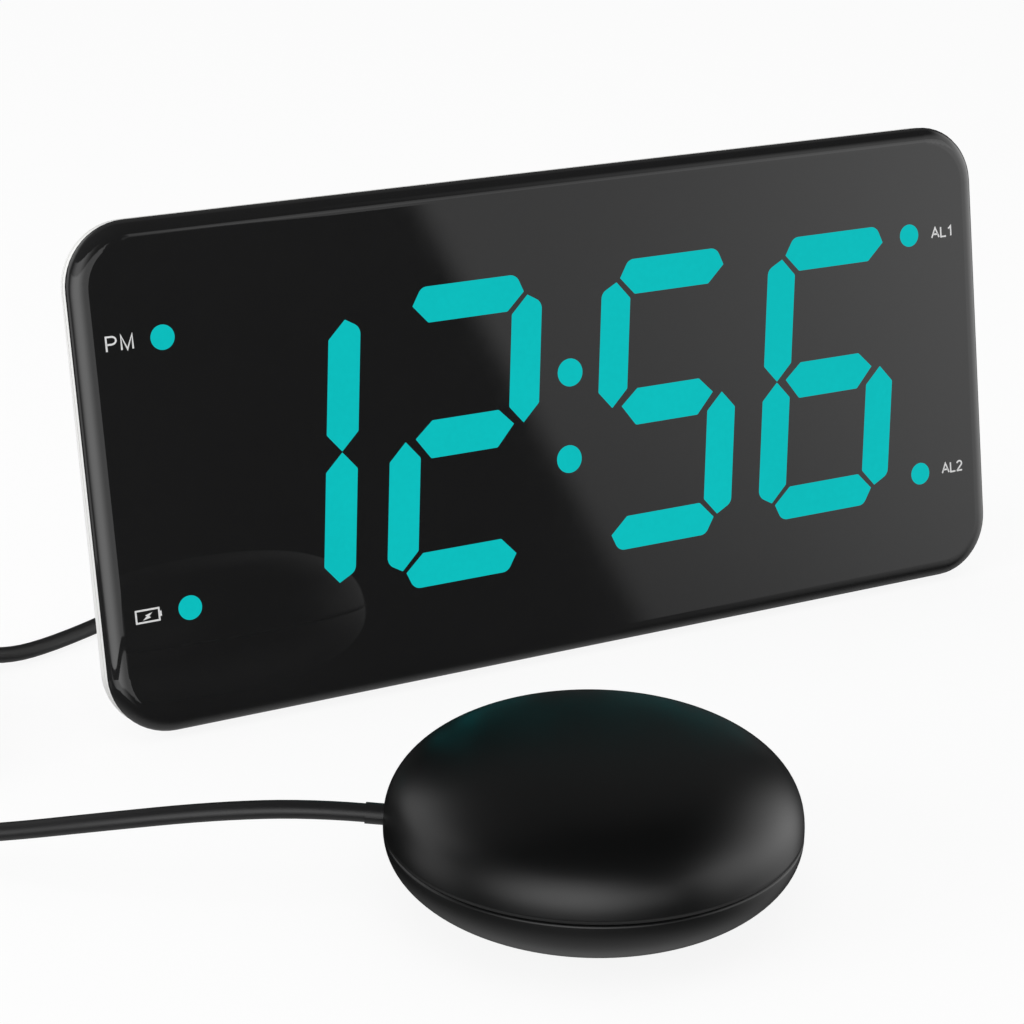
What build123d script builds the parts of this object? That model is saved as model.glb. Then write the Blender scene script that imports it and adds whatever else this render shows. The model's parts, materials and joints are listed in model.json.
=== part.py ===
from build123d import *
import math
import os

# A bed shaker alarm clock: a wide display that leans back on its own stand, and a round
# shaker puck on a cord. The clock stands behind, its shaker lies in front of it.
# X runs along the display, Y runs away from the person who reads it, Z is up.
# The origin is under the middle of the clock and its shaker, on the table.

os.makedirs("parts", exist_ok=True)

# Display panel
panel_width = 201.0
panel_height = 96.7
panel_corner = 12.2
panel_thickness = 2.8
edge_width = 3.5
edge_depth = 2.4
panel_lift = 1.5
lean_angle = 10.0
quarter_turn = 90.0

# Display area inside the panel, and the digits on it
display_margin = 15.0
display_left = 1.0
digit_head_margin = 19.2
digit_foot_margin = 19.0
digit_pitch_share = 0.195
hour_gap_share = 0.2284
digit_space = 6.75
bar_width = 6.65
head_bar = 7.0
foot_bar = 6.8
middle_bar = 7.4
middle_drop = 0.55
middle_tip_drop = 0.05
waist_drop = 0.2
waist_gap = 0.15
head_gap = 4.2
foot_gap = 3.9
head_reach_gap = 0.8
middle_reach_gap = 2.15
bar_tip = 3.5
bar_shoulder = 1.8
tip_round = 0.15
corner_round = 0.6
shoulder_round = 2.1
slant_share = 0.117
colon_radius = 2.8
colon_high = 8.35
colon_low = 8.95
colon_high_right = 0.1
colon_low_right = 0.55
indicator_radius = 2.35
indicator_gap = 2.56
indicator_side_border = 2.15
indicator_border = 5.4
indicator_left = 0.4
indicator_rise = 0.7

# Light guides, reflector and display board behind the panel
guide_plate = 0.8
guide_side_border = 0.175
guide_border = 0.5
guide_corner = 8.0
first_guide_corner = 3.0
colon_plate_border = 1.6
colon_plate_ends = 3.7
colon_plate_corner = 3.0
reflector_depth = 6.0
board_thickness = 1.6
led_length = 3.0
led_width = 1.4
led_height = 0.8

# Bezel frame and rear cover
frame_thickness = 1.5
rim_inset = 0.05
seam_gap = 0.2
tray_back_low = 8.2
tray_back_high = 6.6
tray_round = 1.8
box_inset = 6.0
box_corner = 9.0
box_back = 15.5
box_round = 3.0
wall = 2.0
stand_depth = 44.0
stand_half_width = 70.0
stand_top = 72.0
stand_front = 6.0
stand_round = 5.0
opening_gap = 0.4
boss_radius = 2.8
boss_side_margin = 13.5
boss_margin = 11.4
screw_radius = 1.15
screw_gap = 0.05
screw_pass_gap = 0.25
screw_head_radius = 2.4
screw_head_height = 0.9
screw_head_sink = 1.0
screw_head_gap = 0.3
housing_screw_length = 9.5

# Feet
foot_radius = 4.5
foot_sink = 0.8
foot_across = 58.0
foot_front = 13.0
foot_rear = 33.0

# General clearances
moving_gap = 0.3
running_gap = 0.05
overrun = 1.0

# Snooze bar and its switch, in the top of the stand
snooze_length = 60.0
snooze_depth = 9.0
snooze_back = 36.0
snooze_proud = 1.4
snooze_flange = 1.1
snooze_flange_depth = 1.2
snooze_flange_width = 2.4
shelf_top = 63.2
shelf_thickness = 1.4
shelf_half_width = 33.0
shelf_front = 31.0
spring_across = 26.0
spring_radius = 2.1
spring_wire = 0.5
spring_half_turns = 9
tact_side = 6.0
tact_height = 3.4
tact_corner = 0.5
plunger_radius = 1.6
plunger_rise = 0.5

# Main board, standing behind the display
board_back = 34.0
board_left = -27.0
board_right = 67.0
board_low = 27.0
board_high = 60.8
board_boss_radius = 2.5
board_boss_left = -23.0
board_boss_right = 63.8
board_boss_low = 31.0
board_boss_high = 57.6
board_screw_radius = 0.8
board_screw_head_radius = 1.8
board_screw_head_height = 1.2
board_screw_length = 5.0
chip_height = 1.5
capacitor_radius = 2.5
capacitor_height = 6.0

# Set buttons on the rear face
button_radius = 4.2
button_proud = 1.0
button_travel = 0.8
button_flange = 1.0
button_flange_width = 1.0
button_stem_radius = 1.5
button_first = -14.0
button_pitch = 14.0
button_height = 54.0
button_round = 0.6

# Sound mode slide switch
slider_across = 20.0
slider_height = 38.0
slider_nub_length = 4.0
slider_nub_width = 2.8
slider_proud = 1.2
slider_travel = 2.5
slider_guard_length = 15.0
slider_guard_width = 5.2
slider_guard_thickness = 0.8
slider_body_length = 9.0
slider_body_width = 4.4
slider_body_height = 3.6
slider_gap = 0.1

# Dimmer thumbwheel
wheel_radius = 5.3
wheel_width = 3.0
wheel_proud = 1.3
wheel_across = 56.0
wheel_height = 40.0
wheel_notch_count = 24
notch_radius = 0.35
wheel_shaft_radius = 1.2
pot_width = 3.6
pot_height = 8.0
pot_depth = 7.6
pot_gap = 0.4

# Speaker behind its grille
speaker_across = -46.0
speaker_drop = 22.0
speaker_radius = 15.0
speaker_flange = 1.0
basket_depth = 6.0
basket_wall = 0.7
magnet_radius = 7.0
magnet_depth = 3.5
cone_radius = 12.6
cone_wall = 0.4
cone_depth = 3.6
dust_cap_radius = 4.0
speaker_ring_gap = 0.2
speaker_ring_wall = 1.5
speaker_ring_depth = 3.0
grille_hole_radius = 0.95
grille_pitch = 3.6
grille_ring_count = 3

# Battery bay, cell, contacts and door
bay_left = 6.5
bay_length = 59.0
bay_floor = 4.2
bay_height = 18.8
bay_depth = 21.1
bay_wall = 1.4
cell_radius = 9.0
cell_nub_radius = 3.0
cell_nub_length = 1.4
cell_start = 6.5
cell_end = 2.5
contact_thickness = 0.5
contact_side = 12.0
contact_spring_radius = 3.2
contact_spring_half_turns = 7
contact_dimple_radius = 1.8
door_thickness = 1.8
door_rib = 0.5
door_rib_count = 5
door_rib_pitch = 1.4
door_rib_length = 14.0

# Sockets on the rear face, on their own board
socket_board_back = 28.4
socket_board_left = -62.0
socket_board_right = -3.0
socket_board_low = 5.0
socket_board_high = 24.0
socket_height = 13.0
socket_sink = 0.2
shaker_socket_across = -11.0
shaker_socket_side = 9.0
shaker_socket_nose = 3.4
shaker_socket_bore = 1.8
shaker_socket_deep = 14.5
socket_hole_gap = 0.2
usb_across = -33.0
usb_width = 14.4
usb_height = 6.8
usb_wall = 0.8
usb_deep = 12.0
usb_tongue_width = 11.0
usb_tongue = 1.8
usb_tongue_length = 9.0
power_across = -54.0
power_side = 10.0
power_nose = 4.2
power_bore = 2.75
power_deep = 10.0
power_pin = 0.95
power_pin_length = 8.5

# Ribbon and leads inside the clock
ribbon_across = 8.0
ribbon_socket_up = 32.0
ribbon_socket_border = 1.0
ribbon_socket_tall = 3.4
ribbon_socket_height = 2.8
ribbon_width = 12.0
ribbon_thickness = 0.5
ribbon_bend = 1.6
ribbon_rise = 44.0
ribbon_run = 3.6
lead_radius = 0.6
lead_drop = 4.0
lead_bend = 2.0

# Shaker puck
puck_left = 48.64
puck_ahead = 88.1
puck_radius = 34.95
puck_seam = 13.05
dome_height = 16.4
belly_height = 14.45
dome_fullness_share = 2.42
belly_fullness_share = 2.23
puck_seam_gap = 0.3
puck_base_lift = 0.5
puck_floor = 3.2
pad_radius = 17.6
pad_thickness = 1.15
pad_gap = 0.2
pad_recess = 0.7
lip_height = 2.0
lip_wall = 1.2
lip_gap = 0.1
puck_boss_across = 8.0
puck_boss_along = 12.5
puck_boss_radius = 2.6
puck_boss_split = 6.0
puck_screw_radius = 1.1
puck_screw_head_radius = 2.0
puck_screw_head_height = 1.0
puck_screw_length = 9.5

# Vibration motor in the puck
motor_height = 14.6
motor_radius = 7.5
motor_length = 20.0
motor_front = 4.0
end_cap_length = 3.0
end_cap_radius = 7.3
end_cap_nub_radius = 2.2
end_cap_nub_length = 1.5
terminal_length = 1.3
terminal_width = 3.0
terminal_thickness = 0.5
terminal_spread = 4.5
terminal_step = 1.5
shaft_radius = 1.0
shaft_end = 14.0
shaft_inside = 0.5
weight_radius = 9.0
weight_hub_radius = 2.6
weight_start = 5.5
weight_width = 7.0
cradle_half_width = 9.6
cradle_rib = 3.0
cradle_gap = 0.05
clamp_wall = 1.2
clamp_width = 6.0
clamp_start = -9.0
motor_edge = 0.5
puck_lead_apart = 0.8
puck_lead_run = 3.0
puck_lead_bend = 1.2

# Cord, its collar, its plug and its tie
cord_radius = 1.6
cord_first_run = 9.05
cord_bend_share = 0.45
collar_angle = 154.0
collar_rise = 5.7
collar_height = 15.36
collar_reach = 37.81
collar_radius = 1.8
collar_inner = 8.0
collar_flange_radius = 3.2
collar_flange = 1.1
collar_flange_start = 6.5
plug_radius = 4.2
plug_length = 12.0
plug_taper = 9.0
plug_tail_radius = 2.1
plug_gap = 0.1
plug_round = 0.8
plug_grip_count = 4
plug_grip_pitch = 1.9
plug_grip_depth = 0.35
plug_grip_width = 0.9
plug_pin_radius = 1.75
plug_pin_length = 13.0
plug_pin_tip = 0.9
plug_pin_groove = 0.3
plug_pin_groove_width = 0.6
plug_pin_ring_pitch = 3.6
coil_left = 147.0
coil_back = 61.0
coil_radius = 24.7
coil_step = 4.4
coil_layer = 3.8
coil_lead = 3.2
tie_thickness = 0.6
tie_gap = 0.3
tie_width = 5.0
tie_angle = 215.0

# Places that follow from the sizes above
lean_sine = math.sin(math.radians(lean_angle))
lean_cosine = math.cos(math.radians(lean_angle))
rear_reach = stand_depth + wheel_proud
front_reach = puck_ahead + puck_radius
clock_y = (front_reach - rear_reach) / 2
puck_x = -puck_left
puck_y = clock_y - puck_ahead
middle_up = panel_height / 2
guide_back = panel_thickness + guide_plate
reflector_back = guide_back + reflector_depth
display_board_back = reflector_back + board_thickness
frame_back = panel_thickness + frame_thickness
cover_front = frame_back + seam_gap
box_inner_back = box_back - wall
stand_inner = stand_depth - wall
stand_floor = panel_lift + wall
speaker_height = stand_top - speaker_drop
socket_face = stand_depth - socket_sink
reflector_height = panel_height - 2 * display_margin
digit_top = middle_up - digit_head_margin
digit_foot = middle_up - digit_foot_margin
digit_pitch = panel_width * digit_pitch_share
hour_gap = panel_width * hour_gap_share
digit_column = (digit_pitch - digit_space - bar_width) / 2
head_reach = digit_column - head_reach_gap
middle_reach = digit_column - middle_reach_gap
guide_bar_half_width = bar_width / 2 + guide_side_border
guide_half_width = digit_column + guide_bar_half_width
guide_half_height = digit_foot + guide_border
display_reach = hour_gap / 2 + digit_pitch + guide_half_width
indicator_across = display_reach + indicator_gap + indicator_radius
indicator_up = reflector_height / 2 - indicator_radius - indicator_border
reflector_width = 2 * (indicator_across + indicator_radius + indicator_side_border)
colon_plate_half_width = colon_radius + colon_plate_border
colon_plate_half_height = colon_low + colon_radius + colon_plate_ends
boss_across = panel_width / 2 - boss_side_margin
boss_up = middle_up - boss_margin
digit_places = [
    -hour_gap / 2 - digit_pitch,
    -hour_gap / 2,
    hour_gap / 2,
    hour_gap / 2 + digit_pitch,
]

# Which bars each place has: the first one shows nothing or a one, as the clock counts to
# twelve. Then which bars are lit while the display reads twelve fifty-six
all_bars = ["head", "upper_left", "upper_right", "middle", "lower_left", "lower_right", "foot"]
first_bars = ["upper_right", "lower_right"]
place_bars = list(zip(digit_places, [first_bars, all_bars, all_bars, all_bars]))
lit_bars = [
    first_bars,
    ["head", "upper_right", "middle", "lower_left", "foot"],
    ["head", "upper_left", "middle", "lower_right", "foot"],
    ["head", "upper_left", "middle", "lower_left", "lower_right", "foot"],
]
button_names = ["time", "alarm_1", "alarm_2", "up", "down"]


def leaned(depth):
    """Plane parallel to the display, this far behind its face, from the panel's lower edge."""
    origin = (0, clock_y + depth * lean_cosine, panel_lift - depth * lean_sine)
    return Plane(origin=origin, x_dir=(1, 0, 0), z_dir=(0, -lean_cosine, lean_sine))


def side_point(up, depth):
    """Y and Z of the point this far up the display and this far behind its face."""
    along_y = clock_y + up * lean_sine + depth * lean_cosine
    along_z = panel_lift + up * lean_cosine - depth * lean_sine
    return (along_y, along_z)


def leaned_y(height, depth):
    """Y of the leaned plane at this depth, at this height above the table."""
    up = (height - panel_lift + depth * lean_sine) / lean_cosine
    return side_point(up, depth)[0]


def upright(back):
    """Upright plane this far behind the panel's lower edge; it faces the front."""
    return Plane.XZ.offset(-(clock_y + back))


def turned_about(across, height):
    """Plane and axis for a piece that is turned about a line from front to back."""
    origin = (across, clock_y, height)
    return Plane(origin=origin, x_dir=(1, 0, 0), z_dir=(0, 0, 1)), Axis(origin, (0, 1, 0))


def slanted(across, up):
    """Point of the slanted display, in the leaned plane's own coordinates."""
    return (across - display_left + slant_share * up, middle_up + up)


def bar_corners(place, name):
    """Six corners of one bar of a digit."""
    half = bar_width / 2
    outer = digit_column + half
    inner = digit_column - half
    head_tip = digit_top - head_gap
    foot_tip = foot_gap - digit_foot
    waist_high = waist_gap / 2 - waist_drop
    waist_low = -waist_gap / 2 - waist_drop
    middle_high = middle_bar / 2 - middle_drop
    middle_low = -middle_bar / 2 - middle_drop
    side = -1 if name.endswith("left") else 1
    corners = {
        "head": [
            (-head_reach, digit_top - head_bar / 2),
            (bar_shoulder - head_reach, digit_top),
            (head_reach - bar_shoulder, digit_top),
            (head_reach, digit_top - head_bar / 2),
            (head_reach - bar_tip, digit_top - head_bar),
            (bar_tip - head_reach, digit_top - head_bar),
        ],
        "middle": [
            (-middle_reach, -middle_tip_drop),
            (bar_tip - middle_reach, middle_high),
            (middle_reach - bar_tip, middle_high),
            (middle_reach, -middle_tip_drop),
            (middle_reach - bar_tip, middle_low),
            (bar_tip - middle_reach, middle_low),
        ],
        "foot": [
            (-head_reach, foot_bar / 2 - digit_foot),
            (bar_shoulder - head_reach, -digit_foot),
            (head_reach - bar_shoulder, -digit_foot),
            (head_reach, foot_bar / 2 - digit_foot),
            (head_reach - bar_tip, foot_bar - digit_foot),
            (bar_tip - head_reach, foot_bar - digit_foot),
        ],
        "upper": [
            (side * digit_column, head_tip),
            (side * outer, head_tip - bar_shoulder),
            (side * outer, waist_high + bar_tip),
            (side * digit_column, waist_high),
            (side * inner, waist_high + bar_tip),
            (side * inner, head_tip - bar_tip),
        ],
        "lower": [
            (side * digit_column, foot_tip),
            (side * outer, foot_tip + bar_shoulder),
            (side * outer, waist_low - bar_tip),
            (side * digit_column, waist_low),
            (side * inner, waist_low - bar_tip),
            (side * inner, foot_tip + bar_tip),
        ],
    }
    return [slanted(place + u, v) for u, v in corners[name.split("_")[0]]]


def bar_rounds(name):
    """Corner radii of one bar, in the order of its corners."""
    if name in ("head", "foot"):
        return [tip_round, shoulder_round, shoulder_round, tip_round, corner_round, corner_round]
    if name == "middle":
        return [tip_round] + [corner_round] * 2 + [tip_round] + [corner_round] * 2
    return [tip_round, shoulder_round, corner_round, tip_round, corner_round, corner_round]


def slanted_plate(place, half_width, half_height):
    """Corners of a slanted plate behind the panel."""
    return [
        slanted(place - half_width, -half_height),
        slanted(place + half_width, -half_height),
        slanted(place + half_width, half_height),
        slanted(place - half_width, half_height),
    ]


def wound_arcs(plane, radius, rise, half_turns):
    """Half turns of a coil spring about a plane's normal, each as start, middle and end."""
    arcs = []
    for i in range(half_turns):
        side = 1 if i % 2 == 0 else -1
        start = (side * radius, 0, rise * i)
        middle = (0, side * radius, rise * (i + 1 / 2))
        end = (-side * radius, 0, rise * (i + 1))
        arcs.append([plane.from_local_coords(p) for p in (start, middle, end)])
    return arcs


def shell_points(radius, height, fullness_share, count=9):
    """Points of one quarter of a rounded shell's section, from its widest ring to its pole."""
    points = []
    for i in range(count):
        turn = math.pi / 2 * i / (count - 1)
        along = radius * max(math.cos(turn), 0) ** (2 / fullness_share)
        up = height * max(math.sin(turn), 0) ** (2 / fullness_share)
        points.append((along, up))
    points[-1] = (0, height)
    return points


def shell_radius(radius, height, fullness_share, rise):
    """Radius of a rounded shell at this height above its widest ring."""
    return radius * (1 - (rise / height) ** fullness_share) ** (1 / fullness_share)


def shell_rise(radius, height, fullness_share, along):
    """Height of a rounded shell above its widest ring, this far from its middle."""
    return height * (1 - (along / radius) ** fullness_share) ** (1 / fullness_share)


def self_gap(line, radius, apart):
    """Least gap of a wound tube to itself, on points of its middle line this far apart along it."""
    points = []
    run = 0
    for edge in line.order_edges():
        steps = max(4, math.ceil(edge.length / radius))
        for i in range(steps):
            points.append((run + edge.length * i / steps, edge @ (i / steps)))
        run += edge.length
    least = run
    for i, (start, here) in enumerate(points):
        for reach, there in points[i + 1 :]:
            if reach - start > apart:
                least = min(least, (there - here).length)
    return least - 2 * radius


def save(part, name):
    """Label one finished piece and write it."""
    part.label = name
    export_step(part, f"parts/{name}.step")


indicator_places = [
    (side * indicator_across - indicator_left, middle_up + level * indicator_up + indicator_rise)
    for side in (-1, 1)
    for level in (-1, 1)
]
colon_places = [slanted(colon_high_right, colon_high), slanted(colon_low_right, -colon_low)]

# Front panel: glossy black, with a softly curved edge and a window for each lit mark
with BuildPart() as front_panel:
    with BuildSketch(leaned(0)):
        with Locations((0, middle_up)):
            RectangleRounded(panel_width, panel_height, panel_corner)
    extrude(amount=-panel_thickness)
    with BuildLine(leaned(0)) as rim:
        side_x = panel_width / 2
        corner_x = side_x - panel_corner
        corner_high = panel_height - panel_corner
        Line((side_x, middle_up), (side_x, corner_high))
        RadiusArc((side_x, corner_high), (corner_x, panel_height), -panel_corner)
        Line((corner_x, panel_height), (-corner_x, panel_height))
        RadiusArc((-corner_x, panel_height), (-side_x, corner_high), -panel_corner)
        Line((-side_x, corner_high), (-side_x, panel_corner))
        RadiusArc((-side_x, panel_corner), (-corner_x, 0), -panel_corner)
        Line((-corner_x, 0), (corner_x, 0))
        RadiusArc((corner_x, 0), (side_x, panel_corner), -panel_corner)
        Line((side_x, panel_corner), (side_x, middle_up))
    with BuildSketch(Plane(origin=rim.line @ 0, x_dir=(1, 0, 0), z_dir=rim.line % 0)):
        with BuildLine():
            edge_middle = (-edge_width, edge_depth)
            EllipticalCenterArc(edge_middle, edge_width, edge_depth, start_angle=-quarter_turn)
            Polyline(
                (0, edge_depth),
                (overrun, edge_depth),
                (overrun, -overrun),
                (-edge_width, -overrun),
                (-edge_width, 0),
            )
        make_face()
    sweep(path=rim.line, mode=Mode.SUBTRACT)
    with BuildSketch(leaned(0)):
        for place, bars in zip(digit_places, lit_bars):
            for bar in bars:
                with BuildLine():
                    FilletPolyline(*bar_corners(place, bar), radius=bar_rounds(bar), close=True)
                make_face()
        with Locations(*colon_places):
            Circle(colon_radius)
        with Locations(*indicator_places):
            Circle(indicator_radius)
    extrude(amount=-panel_thickness, mode=Mode.SUBTRACT)
save(front_panel.part, "front_panel")

# Light guides: one moulding per digit, whose raised bars come up flush with the panel
guide_plates = [(digit_places[0] + digit_column, guide_bar_half_width, first_guide_corner)]
guide_plates += [(place, guide_half_width, guide_corner) for place in digit_places[1:]]
for number, (place, bars) in enumerate(zip(digit_places, lit_bars), start=1):
    middle, half_width, corner = guide_plates[number - 1]
    with BuildPart() as digit_guide:
        with BuildSketch(leaned(panel_thickness)):
            with BuildLine():
                outline = slanted_plate(middle, half_width, guide_half_height)
                FilletPolyline(*outline, radius=corner, close=True)
            make_face()
        extrude(amount=-guide_plate)
        with BuildSketch(leaned(0)):
            for bar in bars:
                with BuildLine():
                    FilletPolyline(*bar_corners(place, bar), radius=bar_rounds(bar), close=True)
                make_face()
        extrude(amount=-panel_thickness)
    save(digit_guide.part, f"digit_{number}_light_guide")

with BuildPart() as colon_light_guide:
    with BuildSketch(leaned(panel_thickness)):
        with BuildLine():
            outline = slanted_plate(0, colon_plate_half_width, colon_plate_half_height)
            FilletPolyline(*outline, radius=colon_plate_corner, close=True)
        make_face()
    extrude(amount=-guide_plate)
    with BuildSketch(leaned(0)):
        with Locations(*colon_places):
            Circle(colon_radius)
    extrude(amount=-panel_thickness)
save(colon_light_guide.part, "colon_light_guide")

# Four round light pipes: the afternoon, charge and two alarm lights
with BuildPart() as indicator_light_pipes:
    with BuildSketch(leaned(0)):
        with Locations(*indicator_places):
            Circle(indicator_radius)
    extrude(amount=-guide_back)
save(indicator_light_pipes.part, "indicator_light_pipes")

# Reflector block: a white moulding with one light well for every bar and dot
with BuildPart() as reflector_block:
    with BuildSketch(leaned(guide_back)):
        with Locations((0, middle_up)):
            Rectangle(reflector_width, reflector_height)
        for place, bars in place_bars:
            for bar in bars:
                with BuildLine():
                    FilletPolyline(*bar_corners(place, bar), radius=bar_rounds(bar), close=True)
                make_face(mode=Mode.SUBTRACT)
        with Locations(*colon_places):
            Circle(colon_radius, mode=Mode.SUBTRACT)
        with Locations(*indicator_places):
            Circle(indicator_radius, mode=Mode.SUBTRACT)
    extrude(amount=-reflector_depth)
    display_screw_places = [
        (-indicator_across, middle_up),
        (indicator_across, middle_up),
        slanted(0, digit_top),
        slanted(0, -digit_top),
    ]
    with BuildSketch(leaned(reflector_back)):
        with Locations(*display_screw_places):
            Circle(board_screw_radius + screw_gap)
    extrude(amount=board_screw_length, mode=Mode.SUBTRACT)
save(reflector_block.part, "reflector_block")

# Display board, and one surface LED in each light well
with BuildPart() as display_board:
    with BuildSketch(leaned(reflector_back)):
        with Locations((0, middle_up)):
            Rectangle(reflector_width, reflector_height)
        with Locations(*display_screw_places):
            Circle(board_screw_radius + screw_pass_gap, mode=Mode.SUBTRACT)
    extrude(amount=-board_thickness)
save(display_board.part, "display_board")

led_places = list(colon_places) + list(indicator_places)
upright_leds = []
for place, bars in place_bars:
    for bar in bars:
        corners = bar_corners(place, bar)
        centre = tuple(sum(values) / len(corners) for values in zip(*corners))
        if bar in ("head", "middle", "foot"):
            led_places.append(centre)
        else:
            upright_leds.append(centre)
with BuildPart() as led_chips:
    with BuildSketch(leaned(reflector_back)):
        with Locations(*led_places):
            Rectangle(led_length, led_width)
        with Locations(*upright_leds):
            Rectangle(led_width, led_length)
    extrude(amount=led_height)
save(led_chips.part, "led_chips")

# Bezel frame: the white frame that the panel is bonded to, with four screw bosses
boss_places = [
    (side * boss_across, middle_up + level * boss_up)
    for side in (-1, 1)
    for level in (-1, 1)
]
rim_width = panel_width - 2 * rim_inset
rim_height = panel_height - 2 * rim_inset
rim_corner = panel_corner - rim_inset
with BuildPart() as bezel_frame:
    with BuildSketch(leaned(panel_thickness)):
        with Locations((0, middle_up)):
            RectangleRounded(rim_width, rim_height, rim_corner)
            window_width = reflector_width + 2 * opening_gap
            window_height = reflector_height + 2 * opening_gap
            Rectangle(window_width, window_height, mode=Mode.SUBTRACT)
    extrude(amount=-frame_thickness)
    with BuildSketch(leaned(panel_thickness)):
        with Locations(*boss_places):
            Circle(boss_radius)
    extrude(amount=-(box_inner_back - panel_thickness))
    with BuildSketch(leaned(box_inner_back)):
        with Locations(*boss_places):
            Circle(screw_radius + screw_gap)
    extrude(amount=housing_screw_length, mode=Mode.SUBTRACT)
save(bezel_frame.part, "bezel_frame")

# Rear cover, built up from a thin tray, a shallow box and a deep stand
with BuildPart() as tray_form:
    with BuildSketch(leaned(cover_front)):
        with Locations((0, middle_up)):
            RectangleRounded(rim_width, rim_height, rim_corner)
    extrude(amount=-(tray_back_low - cover_front))
    with BuildSketch(Plane.YZ):
        with BuildLine():
            Polyline(
                side_point(-overrun, tray_back_low),
                side_point(panel_height + overrun, tray_back_high),
                side_point(panel_height + overrun, tray_back_low + overrun),
                side_point(-overrun, tray_back_low + overrun),
                close=True,
            )
        make_face()
    extrude(amount=panel_width, both=True, mode=Mode.SUBTRACT)
    tray_back_face = tray_form.faces().sort_by(Axis((0, 0, 0), (0, lean_cosine, -lean_sine)))[-1]
    fillet(tray_back_face.edges(), tray_round)

with BuildPart() as box_form:
    with BuildSketch(leaned(cover_front)):
        with Locations((0, middle_up)):
            RectangleRounded(panel_width - 2 * box_inset, panel_height - 2 * box_inset, box_corner)
    extrude(amount=-(box_back - cover_front))
    box_back_face = box_form.faces().sort_by(Axis((0, 0, 0), (0, lean_cosine, -lean_sine)))[-1]
    fillet(box_back_face.edges(), box_round)

with BuildPart() as stand_form:
    with BuildSketch(Plane.YZ):
        with BuildLine():
            Polyline(
                (leaned_y(panel_lift, stand_front), panel_lift),
                (clock_y + stand_depth, panel_lift),
                (clock_y + stand_depth, stand_top),
                (leaned_y(stand_top, stand_front), stand_top),
                close=True,
            )
        make_face()
    extrude(amount=stand_half_width, both=True)
    fillet(stand_form.faces().sort_by(Axis.Y)[-1].edges(), stand_round)

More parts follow.
